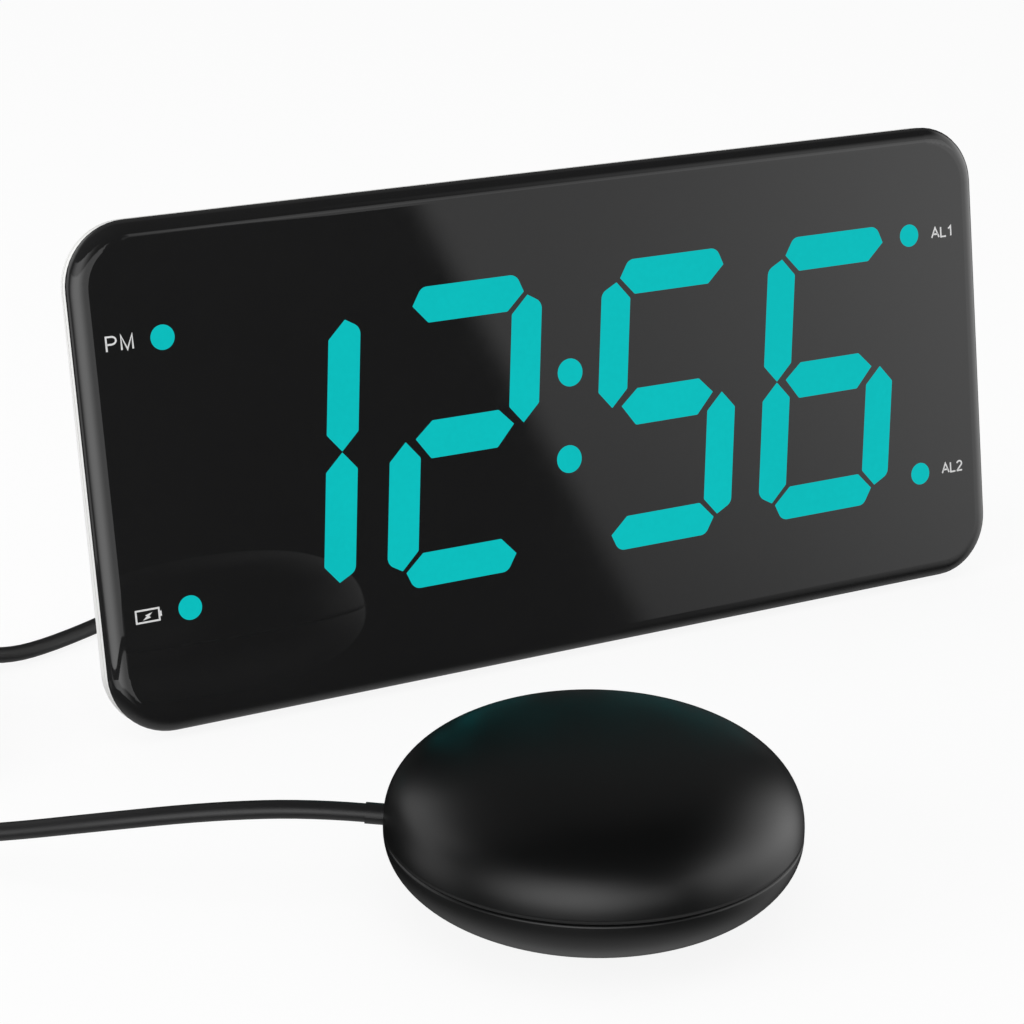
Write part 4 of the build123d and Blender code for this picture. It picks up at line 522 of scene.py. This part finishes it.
def grain_bump(tree, shader, height, depth):
    """The effect's height as a bump this deep."""
    bump = add_node(tree, "ShaderNodeBump")
    bump.inputs["Distance"].default_value = depth
    bump.inputs["Strength"].default_value = 1.0
    tree.links.new(height, bump.inputs["Height"])
    tree.links.new(bump.outputs["Normal"], shader.inputs["Normal"])


def moulded(name, colour, roughness, per_metre, depth, spread, rough_spread=0.04):
    """Moulded plastic, rubber or ink; gives its shader."""
    tree, shader, effect = finish_base(name, grain_group, per_metre)
    drift(tree, shader, effect.outputs["Shade"], colour, spread, roughness, rough_spread)
    grain_bump(tree, shader, effect.outputs["Height"], depth)
    return shader


metal_lines = 2500
metal_depth = 0.004 * mm
metal_spread = 0.06


def metal(name, colour, roughness):
    """Drawn, turned or plated metal."""
    tree, shader, effect = finish_base(name, drawn_group, metal_lines)
    shade = effect.outputs["Shade"]
    drift(tree, shader, shade, colour, metal_spread, roughness, metal_spread)
    grain_bump(tree, shader, effect.outputs["Height"], metal_depth)
    shader.inputs["Metallic"].default_value = 1.0


# %% The finishes
smoked_acrylic = 1.55
shader = moulded("panel_gloss", (0.0135, 0.0135, 0.0137), 0.03, 400, 0.0, 0.04, 0.012)
shader.inputs["IOR"].default_value = smoked_acrylic
moulded("case_white", (0.80, 0.80, 0.79), 0.42, 3500, 0.012 * mm, 0.012, 0.05)
moulded("reflector_white", (0.88, 0.88, 0.87), 0.5, 2500, 0.01 * mm, 0.02)
moulded("board_green", (0.012, 0.11, 0.05), 0.32, 1500, 0.01 * mm, 0.2)
moulded("led_body", (0.82, 0.78, 0.6), 0.3, 4000, 0.004 * mm, 0.08)
moulded("key_grey", (0.56, 0.56, 0.56), 0.5, 4000, 0.014 * mm, 0.03, 0.05)
moulded("part_black", (0.02, 0.02, 0.021), 0.45, 3500, 0.01 * mm, 0.15)
metal("steel", (0.62, 0.62, 0.63), 0.3)
metal("magnet_grey", (0.2, 0.2, 0.21), 0.5)
metal("weight_metal", (0.45, 0.43, 0.4), 0.35)
metal("plug_metal", (0.8, 0.78, 0.74), 0.16)
moulded("cell_sleeve", (0.03, 0.09, 0.3), 0.3, 2500, 0.001 * mm, 0.02)
moulded("wire_sleeve", (0.4, 0.015, 0.015), 0.45, 3000, 0.01 * mm, 0.1)
moulded("foot_rubber", (0.035, 0.035, 0.036), 0.75, 3500, 0.03 * mm, 0.15)
moulded("puck_black", (0.0022, 0.0023, 0.0024), 0.36, 5200, 0.006 * mm, 0.1, 0.03)
moulded("cord_black", (0.011, 0.011, 0.0115), 0.42, 3600, 0.012 * mm, 0.12, 0.05)
moulded("print_white", (0.86, 0.86, 0.86), 0.5, 5000, 0.002 * mm, 0.04)
moulded("print_grey", (0.16, 0.16, 0.165), 0.5, 5000, 0.002 * mm, 0.04)
print("finishes", len(finishes))

# %% [markdown]
# The lit marks are clear teal plastic with lamps behind them. From the front they glow
# evenly and hide their lamps, so the finish is a glow of its own over a dark teal body.

# %% Lit light guides
tree, shader, effect = finish_base("light_guide", grain_group, 900)
lit_teal = (0.0036, 0.502, 0.504)
teal_spread = 0.03
light_on_others = 0.5
glowing = shaded_colour(tree, effect.outputs["Shade"], lit_teal, teal_spread)
tree.links.new(glowing, shader.inputs["Emission Color"])
# towards the camera the marks shine fully; their light on the puck is weaker
seen = add_node(tree, "ShaderNodeLightPath").outputs["Is Camera Ray"]
strength = math_node(tree, "MULTIPLY_ADD", seen, 1 - light_on_others, light_on_others)
tree.links.new(strength, shader.inputs["Emission Strength"])
shader.inputs["Base Color"].default_value = (0.0, 0.006, 0.006, 1)
shader.inputs["Roughness"].default_value = 0.3
shader.inputs["Specular IOR Level"].default_value = 0.02
grain_bump(tree, shader, effect.outputs["Height"], 0.002 * mm)

# %% Put every node in its finish
slot_of = {part["node"]: part["material_slot"] for part in frame["record"]["subparts"]}
for name, piece in nodes.items():
    finish = finishes[slot_of[name]]
    for material_slot in piece.material_slots:
        material_slot.material = finish
cord_curve.materials.append(finishes["cord_black"])
print("nodes dressed", len(nodes))

# %% [markdown]
# ## The puck's shells
# The puck is two shells of revolution whose profile is a superellipse: fuller than an
# ellipse, softer than a box. It could be lathed from a drawn profile, but the rule is so
# short that Geometry Nodes can place each vertex by it. A grid is rolled up: one direction
# runs round the puck, the other from the pole along the outside to the seam and back inside.


# %% Helpers for geometry trees
def geometry_tree(name, inputs):
    """Geometry tree with these named inputs; gives the tree, its inputs and its output."""
    tree = bpy.data.node_groups.new(name, "GeometryNodeTree")
    for socket, kind, value in inputs:
        made = tree.interface.new_socket(name=socket, in_out="INPUT", socket_type=kind)
        if value is not None:
            made.default_value = value
    tree.interface.new_socket(name="Geometry", in_out="OUTPUT", socket_type="NodeSocketGeometry")
    start = tree.nodes.new("NodeGroupInput")
    end = tree.nodes.new("NodeGroupOutput")
    return tree, start.outputs, end.inputs[0]


def finish_tree(tree, geometry, material_input, output, smooth=True):
    """Ends a tree: shading, real instances, material."""
    shade = add_node(tree, "GeometryNodeSetShadeSmooth")
    shade.inputs["Shade Smooth"].default_value = smooth
    real = add_node(tree, "GeometryNodeRealizeInstances")
    paint = add_node(tree, "GeometryNodeSetMaterial")
    tree.links.new(geometry, real.inputs[0])
    tree.links.new(real.outputs[0], shade.inputs[0])
    tree.links.new(shade.outputs[0], paint.inputs[0])
    tree.links.new(material_input, paint.inputs["Material"])
    tree.links.new(paint.outputs[0], output)


def grown_piece(name, tree, values, body):
    """Runs a tree with these values and keeps its result as a plain mesh on a body."""
    holder = bpy.data.objects.new(name + "_grown", bpy.data.meshes.new(name + "_seed"))
    bpy.context.scene.collection.objects.link(holder)
    modifier = holder.modifiers.new("Rule", "NODES")
    modifier.node_group = tree
    inputs = [item for item in tree.interface.items_tree if item.in_out == "INPUT"]
    sockets = {item.name: item.identifier for item in inputs}
    for socket, value in values.items():
        modifier[sockets[socket]] = value
    grown = holder.evaluated_get(bpy.context.evaluated_depsgraph_get())
    mesh = bpy.data.meshes.new_from_object(grown)
    mesh.name = name
    holder.modifiers.remove(modifier)
    bpy.data.objects.remove(holder)
    piece = bpy.data.objects.new(name, mesh)
    bpy.context.scene.collection.objects.link(piece)
    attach(piece, body)
    print(name, len(mesh.vertices), "vertices", len(mesh.polygons), "faces")
    return piece


# %% Tree of a superellipse shell
tree, given, output = geometry_tree(
    "Superellipse_Shell",
    [
        ("Middle", "NodeSocketVector", None),
        ("Radius", "NodeSocketFloat", 0.03495),
        ("Height", "NodeSocketFloat", 0.0164),
        ("Fullness", "NodeSocketFloat", 2.42),
        ("Wall", "NodeSocketFloat", 0.002),
        ("Up or down", "NodeSocketFloat", 1.0),
        ("Lowest outside", "NodeSocketFloat", 0.0),
        ("Lowest inside", "NodeSocketFloat", 0.0),
        ("Rings", "NodeSocketInt", 72),
        ("Segments", "NodeSocketInt", 128),
        ("Material", "NodeSocketMaterial", None),
    ],
)
pole_share = 0.9999
merge_reach = 0.000002
rows = math_node(tree, "MULTIPLY_ADD", given["Rings"], 2.0, 2.0)
columns = math_node(tree, "ADD", given["Segments"], 1.0)
grid = add_node(tree, "GeometryNodeMeshGrid")
tree.links.new(columns, grid.inputs["Vertices X"])
tree.links.new(rows, grid.inputs["Vertices Y"])
index = add_node(tree, "GeometryNodeInputIndex").outputs[0]
row = math_node(tree, "MODULO", index, rows)
column = math_node(tree, "FLOOR", math_node(tree, "DIVIDE", index, rows))

# %% Along the outside and back along the inside
inside = math_node(tree, "GREATER_THAN", row, given["Rings"])
back = math_node(tree, "SUBTRACT", math_node(tree, "SUBTRACT", row, given["Rings"]), 1.0)
outer_share = math_node(tree, "SUBTRACT", 1.0, math_node(tree, "DIVIDE", row, given["Rings"]))
inner_share = math_node(tree, "DIVIDE", back, given["Rings"])
difference = math_node(tree, "SUBTRACT", inner_share, outer_share)
share = math_node(tree, "MULTIPLY_ADD", difference, inside, outer_share)
climb = math_node(tree, "MULTIPLY", share, math.pi / 2)
power = math_node(tree, "DIVIDE", 2.0, given["Fullness"])

# %% The superellipse
thinner = math_node(tree, "MULTIPLY", given["Wall"], inside)
radius = math_node(tree, "SUBTRACT", given["Radius"], thinner)
height = math_node(tree, "SUBTRACT", given["Height"], thinner)
cosine = math_node(tree, "MAXIMUM", math_node(tree, "COSINE", climb), 0.0)
sine = math_node(tree, "MAXIMUM", math_node(tree, "SINE", climb), 0.0)
# at the pole the cosine is a rounding error, and its power would leave a pinhole
below_pole = math_node(tree, "LESS_THAN", share, pole_share)
cosine = math_node(tree, "MULTIPLY", cosine, below_pole)
out_reach = math_node(tree, "MULTIPLY", radius, math_node(tree, "POWER", cosine, power))
up_reach = math_node(tree, "MULTIPLY", height, math_node(tree, "POWER", sine, power))

# %% Round the axis and into place
turned = math_node(tree, "MULTIPLY", column, 2 * math.pi)
turn = math_node(tree, "DIVIDE", turned, given["Segments"])
middle = add_node(tree, "ShaderNodeSeparateXYZ")
tree.links.new(given["Middle"], middle.inputs[0])
turn_cosine = math_node(tree, "COSINE", turn)
turn_sine = math_node(tree, "SINE", turn)
x = math_node(tree, "MULTIPLY_ADD", out_reach, turn_cosine, middle.outputs["X"])
y = math_node(tree, "MULTIPLY_ADD", out_reach, turn_sine, middle.outputs["Y"])
z = math_node(tree, "MULTIPLY_ADD", up_reach, given["Up or down"], middle.outputs["Z"])
deeper = math_node(tree, "SUBTRACT", given["Lowest inside"], given["Lowest outside"])
floor_level = math_node(tree, "MULTIPLY_ADD", deeper, inside, given["Lowest outside"])
z = math_node(tree, "MAXIMUM", z, floor_level)
place = add_node(tree, "ShaderNodeCombineXYZ")
for source, target in zip((x, y, z), place.inputs):
    tree.links.new(source, target)
bend = add_node(tree, "GeometryNodeSetPosition")
tree.links.new(grid.outputs["Mesh"], bend.inputs["Geometry"])
tree.links.new(place.outputs[0], bend.inputs["Position"])
merge = add_node(tree, "GeometryNodeMergeByDistance")
merge.inputs["Distance"].default_value = merge_reach
tree.links.new(bend.outputs[0], merge.inputs["Geometry"])
finish_tree(tree, merge.outputs[0], given["Material"], output)
shell_tree = tree
print("shell tree", len(shell_tree.nodes), "nodes")

# %% The two shells
puck_middle = Vector((-48.64, -49.225, 0)) * mm
puck_radius = 34.95 * mm
shell_wall = 2.0 * mm


def outward(piece):
    """Faces outward; a closed shell keeps its inner side facing its hollow."""
    bm = bmesh.new()
    bm.from_mesh(piece.data)
    bmesh.ops.recalc_face_normals(bm, faces=bm.faces)
    bm.to_mesh(piece.data)
    bm.free()


for name, node, seam, tall, fullness, way, outside, inner_floor in [
    ("puck_dome", "puck_top_shell", 13.35, 16.4, 2.42, 1.0, 0.0, 0.0),
    ("puck_belly", "puck_base_shell", 13.05, 14.45, 2.23, -1.0, 0.5, 3.2),
]:
    values = {
        "Middle": puck_middle + Vector((0, 0, seam * mm)),
        "Radius": puck_radius,
        "Height": tall * mm,
        "Fullness": fullness,
        "Wall": shell_wall,
        "Up or down": way,
        "Lowest outside": outside * mm,
        "Lowest inside": inner_floor * mm,
        "Material": finishes["puck_black"],
    }
    piece = grown_piece(name, shell_tree, values, "root")
    outward(piece)
    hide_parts(node)

# %% [markdown]
# ## Springs under the snooze bar
# Two small wound springs carry the snooze bar and shorten as it is pressed, while their feet
# stay on the shelf. A copy of their mesh stands in for them, fixed to the clock as the solid
# model has it.

# %% Springs copied from the solid model
coil_mesh = nodes["snooze_springs"].data.copy()
bar_springs = bpy.data.objects.new("bar_springs", coil_mesh)
bpy.context.scene.collection.objects.link(bar_springs)
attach(bar_springs, "root")
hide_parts("snooze_springs")
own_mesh(bar_springs)

# %% [markdown]
# ## Printed words
# Four small marks are printed on the panel beside their lights, and the controls behind have
# theirs. Each letter is a few straight strokes in a cell one capital high, laid as thin bars
# on the face that carries it, a hair's breadth proud.


# %% Places on the panel and on the rear face
clock_y = 38.875
panel_lift = 1.5
panel_middle = 48.35
lean = math.radians(10)


def panel_place(across, up, proud=0.0):
    """Point of the panel's face, from its middle, in millimetres; proud is towards the reader."""
    along = up + panel_middle
    y = clock_y + along * math.sin(lean) - proud * math.cos(lean)
    z = panel_lift + along * math.cos(lean) + proud * math.sin(lean)
    return Vector((across, y, z)) * mm


rear_depth = 44.0
rear_face = clock_y + rear_depth


def rear_place(across, up, proud=0.0):
    """Point of the stand's rear face; across runs to the right for someone behind the clock."""
    return Vector((-across, rear_face + proud, up)) * mm


# %% [markdown]
# The letters are engraver's letters: each one is a few pen strokes in a box one unit high.
# Small legends on real housings are drawn like this, and a stroke of even width prints
# cleanly. Round parts are short runs along an ellipse.


# %% Engraver's letters
def bow(across, up, wide, tall, start, end, steps=10):
    """Points along an ellipse between two angles, in degrees."""
    points = []
    for i in range(steps + 1):
        turn = math.radians(start + (end - start) * i / steps)
        points.append((across + wide * math.cos(turn), up + tall * math.sin(turn)))
    return points


# each letter's width, and its strokes
b_top = bow(0.32, 0.76, 0.24, 0.24, 90, -90)
b_foot = bow(0.34, 0.26, 0.26, 0.26, -90, 90)
p_top = bow(0.31, 0.735, 0.27, 0.265, 90, -90)
s_top = bow(0.29, 0.75, 0.26, 0.25, 30, 270, 14)
s_foot = bow(0.29, 0.25, 0.29, 0.25, 90, -150, 14)
two_top = bow(0.27, 0.73, 0.26, 0.27, 170, -28, 14)
letters = {
    "A": (0.74, [[(0, 0), (0.37, 1), (0.74, 0)], [(0.125, 0.34), (0.615, 0.34)]]),
    "B": (0.6, [[(0, 0), (0, 1)] + b_top + [(0, 0.52)], [(0, 0)] + b_foot]),
    "C": (0.72, [bow(0.4, 0.5, 0.4, 0.5, 45, 315, 20)]),
    "D": (0.66, [[(0, 0), (0, 1)] + bow(0.26, 0.5, 0.4, 0.5, 90, -90, 16) + [(0, 0)]]),
    "E": (0.56, [[(0.56, 0), (0, 0), (0, 1), (0.56, 1)], [(0, 0.52), (0.5, 0.52)]]),
    "I": (0.0, [[(0, 0), (0, 1)]]),
    "L": (0.52, [[(0, 1), (0, 0), (0.52, 0)]]),
    "M": (0.66, [[(0, 0), (0, 1), (0.33, 0.02), (0.66, 1), (0.66, 0)]]),
    "N": (0.62, [[(0, 0), (0, 1), (0.62, 0), (0.62, 1)]]),
    "P": (0.58, [[(0, 0), (0, 1)] + p_top + [(0, 0.47)]]),
    "S": (0.58, [s_top + s_foot]),
    "T": (0.66, [[(0, 1), (0.66, 1)], [(0.33, 1), (0.33, 0)]]),
    "U": (0.62, [[(0, 1)] + bow(0.31, 0.31, 0.31, 0.31, 180, 360, 12) + [(0.62, 1)]]),
    "Z": (0.6, [[(0, 1), (0.6, 1), (0, 0), (0.6, 0)]]),
    "1": (0.3, [[(0.04, 0.76), (0.16, 0.82), (0.3, 1), (0.3, 0)]]),
    "2": (0.54, [two_top + [(0.04, 0.06), (0.04, 0), (0.56, 0)]]),
    "+": (0.56, [[(0, 0.5), (0.56, 0.5)], [(0.28, 0.22), (0.28, 0.78)]]),
    "-": (0.56, [[(0, 0.5), (0.56, 0.5)]]),
    " ": (0.3, []),
}
# how far the ink stands proud, and how sharp a mitre may be, as the cosine of half its turn
ink = 0.03
sharpest_mitre = 0.45
doubles_reach = 0.0000005


def stroke_faces(bm, points, width, place, closed=False):
    """Ribbon of even width along these points, with mitred corners and a little body."""
    if closed:
        points = points + points[:1]
    flat = [Vector(point) for point in points]
    runs = [(b - a).normalized() for a, b in zip(flat, flat[1:])]
    rows = []
    for i, point in enumerate(flat):
        before = runs[i - 1] if i or closed else runs[0]
        after = runs[i % len(runs)] if i < len(runs) or closed else runs[-1]
        bisector = (before + after).normalized()
        across = Vector((-bisector.y, bisector.x))
        mitre = across.dot(Vector((-before.y, before.x)))
        reach = width / 2 / max(mitre, sharpest_mitre)
        corners = ((reach, ink), (-reach, ink), (-reach, -ink), (reach, -ink))
        rows.append(
            [
                bm.verts.new(place(point.x + across.x * aside, point.y + across.y * aside, proud))
                for aside, proud in corners
            ]
        )
    for here, there in zip(rows, rows[1:]):
        for i in range(4):
            bm.faces.new((here[i], here[(i + 1) % 4], there[(i + 1) % 4], there[i]))
    if not closed:
        bm.faces.new(rows[0])
        bm.faces.new(reversed(rows[-1]))


def finished_piece(name, bm, finish):
    """Mesh object from this bmesh: doubles merged, faces outward, fixed to the clock."""
    bmesh.ops.remove_doubles(bm, verts=bm.verts, dist=doubles_reach)
    bmesh.ops.recalc_face_normals(bm, faces=bm.faces)
    mesh = bpy.data.meshes.new(name)
    bm.to_mesh(mesh)
    bm.free()
    mesh.materials.append(finishes[finish])
    piece = bpy.data.objects.new(name, mesh)
    bpy.context.scene.collection.objects.link(piece)
    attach(piece, "root")
    return piece


def words_width(words, gap):
    """Width of a word whose letters are one unit high, with this gap between them."""
    return sum(letters[letter][0] + gap for letter in words) - gap


def printed_words(name, words, height, width, stroke, left, baseline, place, finish, gap):
    """Words of this height and width, printed with this stroke on the face of place."""
    bm = bmesh.new()
    tall = height - stroke
    wide = (width - stroke) / words_width(words, gap)
    across = left + stroke / 2
    for letter in words:
        letter_width, strokes = letters[letter]
        for points in strokes:
            row = [(across + x * wide, baseline + stroke / 2 + y * tall) for x, y in points]
            stroke_faces(bm, row, stroke, place)
        across += (letter_width + gap) * wide
    piece = finished_piece(name, bm, finish)
    return piece


# %% Words on the panel
panel_stroke = 0.34
for name, words, height, width, left, baseline, gap in [
    ("print_pm", "PM", 3.0, 5.4, -94.9, 24.8, 0.3),
    ("print_al1", "AL1", 2.4, 5.3, 88.65, 25.0, 0.2),
    ("print_al2", "AL2", 2.4, 5.5, 88.65, -25.85, 0.2),
]:
    size = (height, width, panel_stroke, left, baseline)
    piece = printed_words(name, words, *size, panel_place, "print_white", gap)
    print(name, len(piece.data.polygons), "faces")

# %% [markdown]
# The charge mark is a small cell lying on its side, with a bolt through it. It is drawn with
# the same strokes as the letters, and the bolt is a filled zigzag.

# %% Charge mark on the panel
bm = bmesh.new()
mark_left, mark_right, mark_low, mark_high = -94.75, -89.87, -26.3, -23.65
half = panel_stroke / 2
stroke_faces(
    bm,
    [
        (mark_left + half, mark_low + half),
        (mark_right - half, mark_low + half),
        (mark_right - half, mark_high - half),
        (mark_left + half, mark_high - half),
    ],
    panel_stroke,
    panel_place,
    closed=True,
)
mark_middle = (mark_low + mark_high) / 2
nub_across = mark_right + 0.14
nub_width = 0.36
nub = [(nub_across, mark_middle - 0.5), (nub_across, mark_middle + 0.55)]
stroke_faces(bm, nub, nub_width, panel_place)
bolt = [
    (-91.357, -24.427),
    (-92.86, -24.827),
    (-92.5, -25.03),
    (-93.297, -25.706),
    (-91.728, -25.393),
    (-92.0, -25.05),
]
upper = [bm.verts.new(panel_place(*point, ink)) for point in bolt]
lower = [bm.verts.new(panel_place(*point, -ink)) for point in bolt]
bm.faces.new(upper)
bm.faces.new(reversed(lower))
for i in range(len(bolt)):
    j = (i + 1) % len(bolt)
    bm.faces.new((upper[i], lower[i], lower[j], upper[j]))
charge_mark = finished_piece("print_charge_mark", bm, "print_white")
print("charge mark", len(charge_mark.data.polygons), "faces")

# %% [markdown]
# The controls behind have small grey words on the white cover. Their places come from the
# middles of the buttons, the switch, the wheel and the sockets.

# %% Words behind
rear_stroke = 0.26
rear_gap = 0.22
for name, words, height, middle, baseline in [
    ("print_time", "TIME", 1.7, 14.0, 60.0),
    ("print_set_al1", "AL1", 1.7, 0.0, 60.0),
    ("print_set_al2", "AL2", 1.7, -14.0, 60.0),
    ("print_plus", "+", 2.0, -28.0, 59.8),
    ("print_minus", "-", 2.0, -42.0, 59.8),
    ("print_dim", "DIM", 1.7, -56.0, 47.5),
    ("print_buzz", "BUZZ", 1.5, -12.6, 43.4),
    ("print_bed", "BED", 1.5, -27.4, 43.4),
    ("print_shaker", "BED", 1.7, 11.0, 19.2),
    ("print_usb", "USB", 1.7, 33.0, 19.2),
    ("print_dc", "DC IN", 1.7, 54.0, 19.2),
]:
    width = words_width(words, rear_gap) * height
    size = (height, width, rear_stroke, middle - width / 2, baseline)
    piece = printed_words(name, words, *size, rear_place, "print_grey", rear_gap)
    print(name, len(piece.data.polygons), "faces")

# %% [markdown]
# ## Ribs on the snooze bar
# The bar is found with half-closed eyes, so it has ribs across its middle. They are one round
# bar set on a row of points, sunk by half, and they ride on the bar. An array would do as
# well, but a tree keeps the count, the pitch and the round bar in one place.

# %% Tree of a row of ribs
tree, given, output = geometry_tree(
    "Rib_Row",
    [
        ("Middle", "NodeSocketVector", None),
        ("Count", "NodeSocketInt", 9),
        ("Pitch", "NodeSocketFloat", 0.003),
        ("Length", "NodeSocketFloat", 0.005),
        ("Radius", "NodeSocketFloat", 0.0005),
        ("Material", "NodeSocketMaterial", None),
    ],
)
gaps = math_node(tree, "SUBTRACT", given["Count"], 1.0)
row_length = math_node(tree, "MULTIPLY", gaps, given["Pitch"])
first_across = math_node(tree, "MULTIPLY", row_length, -0.5)
first = add_node(tree, "ShaderNodeCombineXYZ")
tree.links.new(first_across, first.inputs["X"])
start = add_node(tree, "ShaderNodeVectorMath", operation="ADD")
tree.links.new(given["Middle"], start.inputs[0])
tree.links.new(first.outputs[0], start.inputs[1])
step = add_node(tree, "ShaderNodeCombineXYZ")
tree.links.new(given["Pitch"], step.inputs["X"])
points = add_node(tree, "GeometryNodeMeshLine")
tree.links.new(given["Count"], points.inputs["Count"])
tree.links.new(start.outputs[0], points.inputs["Start Location"])
tree.links.new(step.outputs[0], points.inputs["Offset"])
rib_sides = 24
rib = add_node(tree, "GeometryNodeMeshCylinder")
rib.inputs["Vertices"].default_value = rib_sides
tree.links.new(given["Radius"], rib.inputs["Radius"])
tree.links.new(given["Length"], rib.inputs["Depth"])
ribs = add_node(tree, "GeometryNodeInstanceOnPoints")
ribs.inputs["Rotation"].default_value = (math.pi / 2, 0, 0)
tree.links.new(points.outputs["Mesh"], ribs.inputs["Points"])
tree.links.new(rib.outputs["Mesh"], ribs.inputs["Instance"])
finish_tree(tree, ribs.outputs[0], given["Material"], output, smooth=False)
rib_tree = tree
print("rib tree", len(rib_tree.nodes), "nodes")

# %% The ribs
bar_depth = 36.0
bar_top = 73.3
values = {
    "Middle": Vector((0, clock_y + bar_depth, bar_top)) * mm,
    "Count": 13,
    "Pitch": 2.4 * mm,
    "Length": 5.4 * mm,
    "Radius": 0.55 * mm,
    "Material": finishes["key_grey"],
}
piece = grown_piece("snooze_ribs", rib_tree, values, "snooze")
outward(piece)

# %% Keep the boxes and finish
bpy.context.view_layer.update()
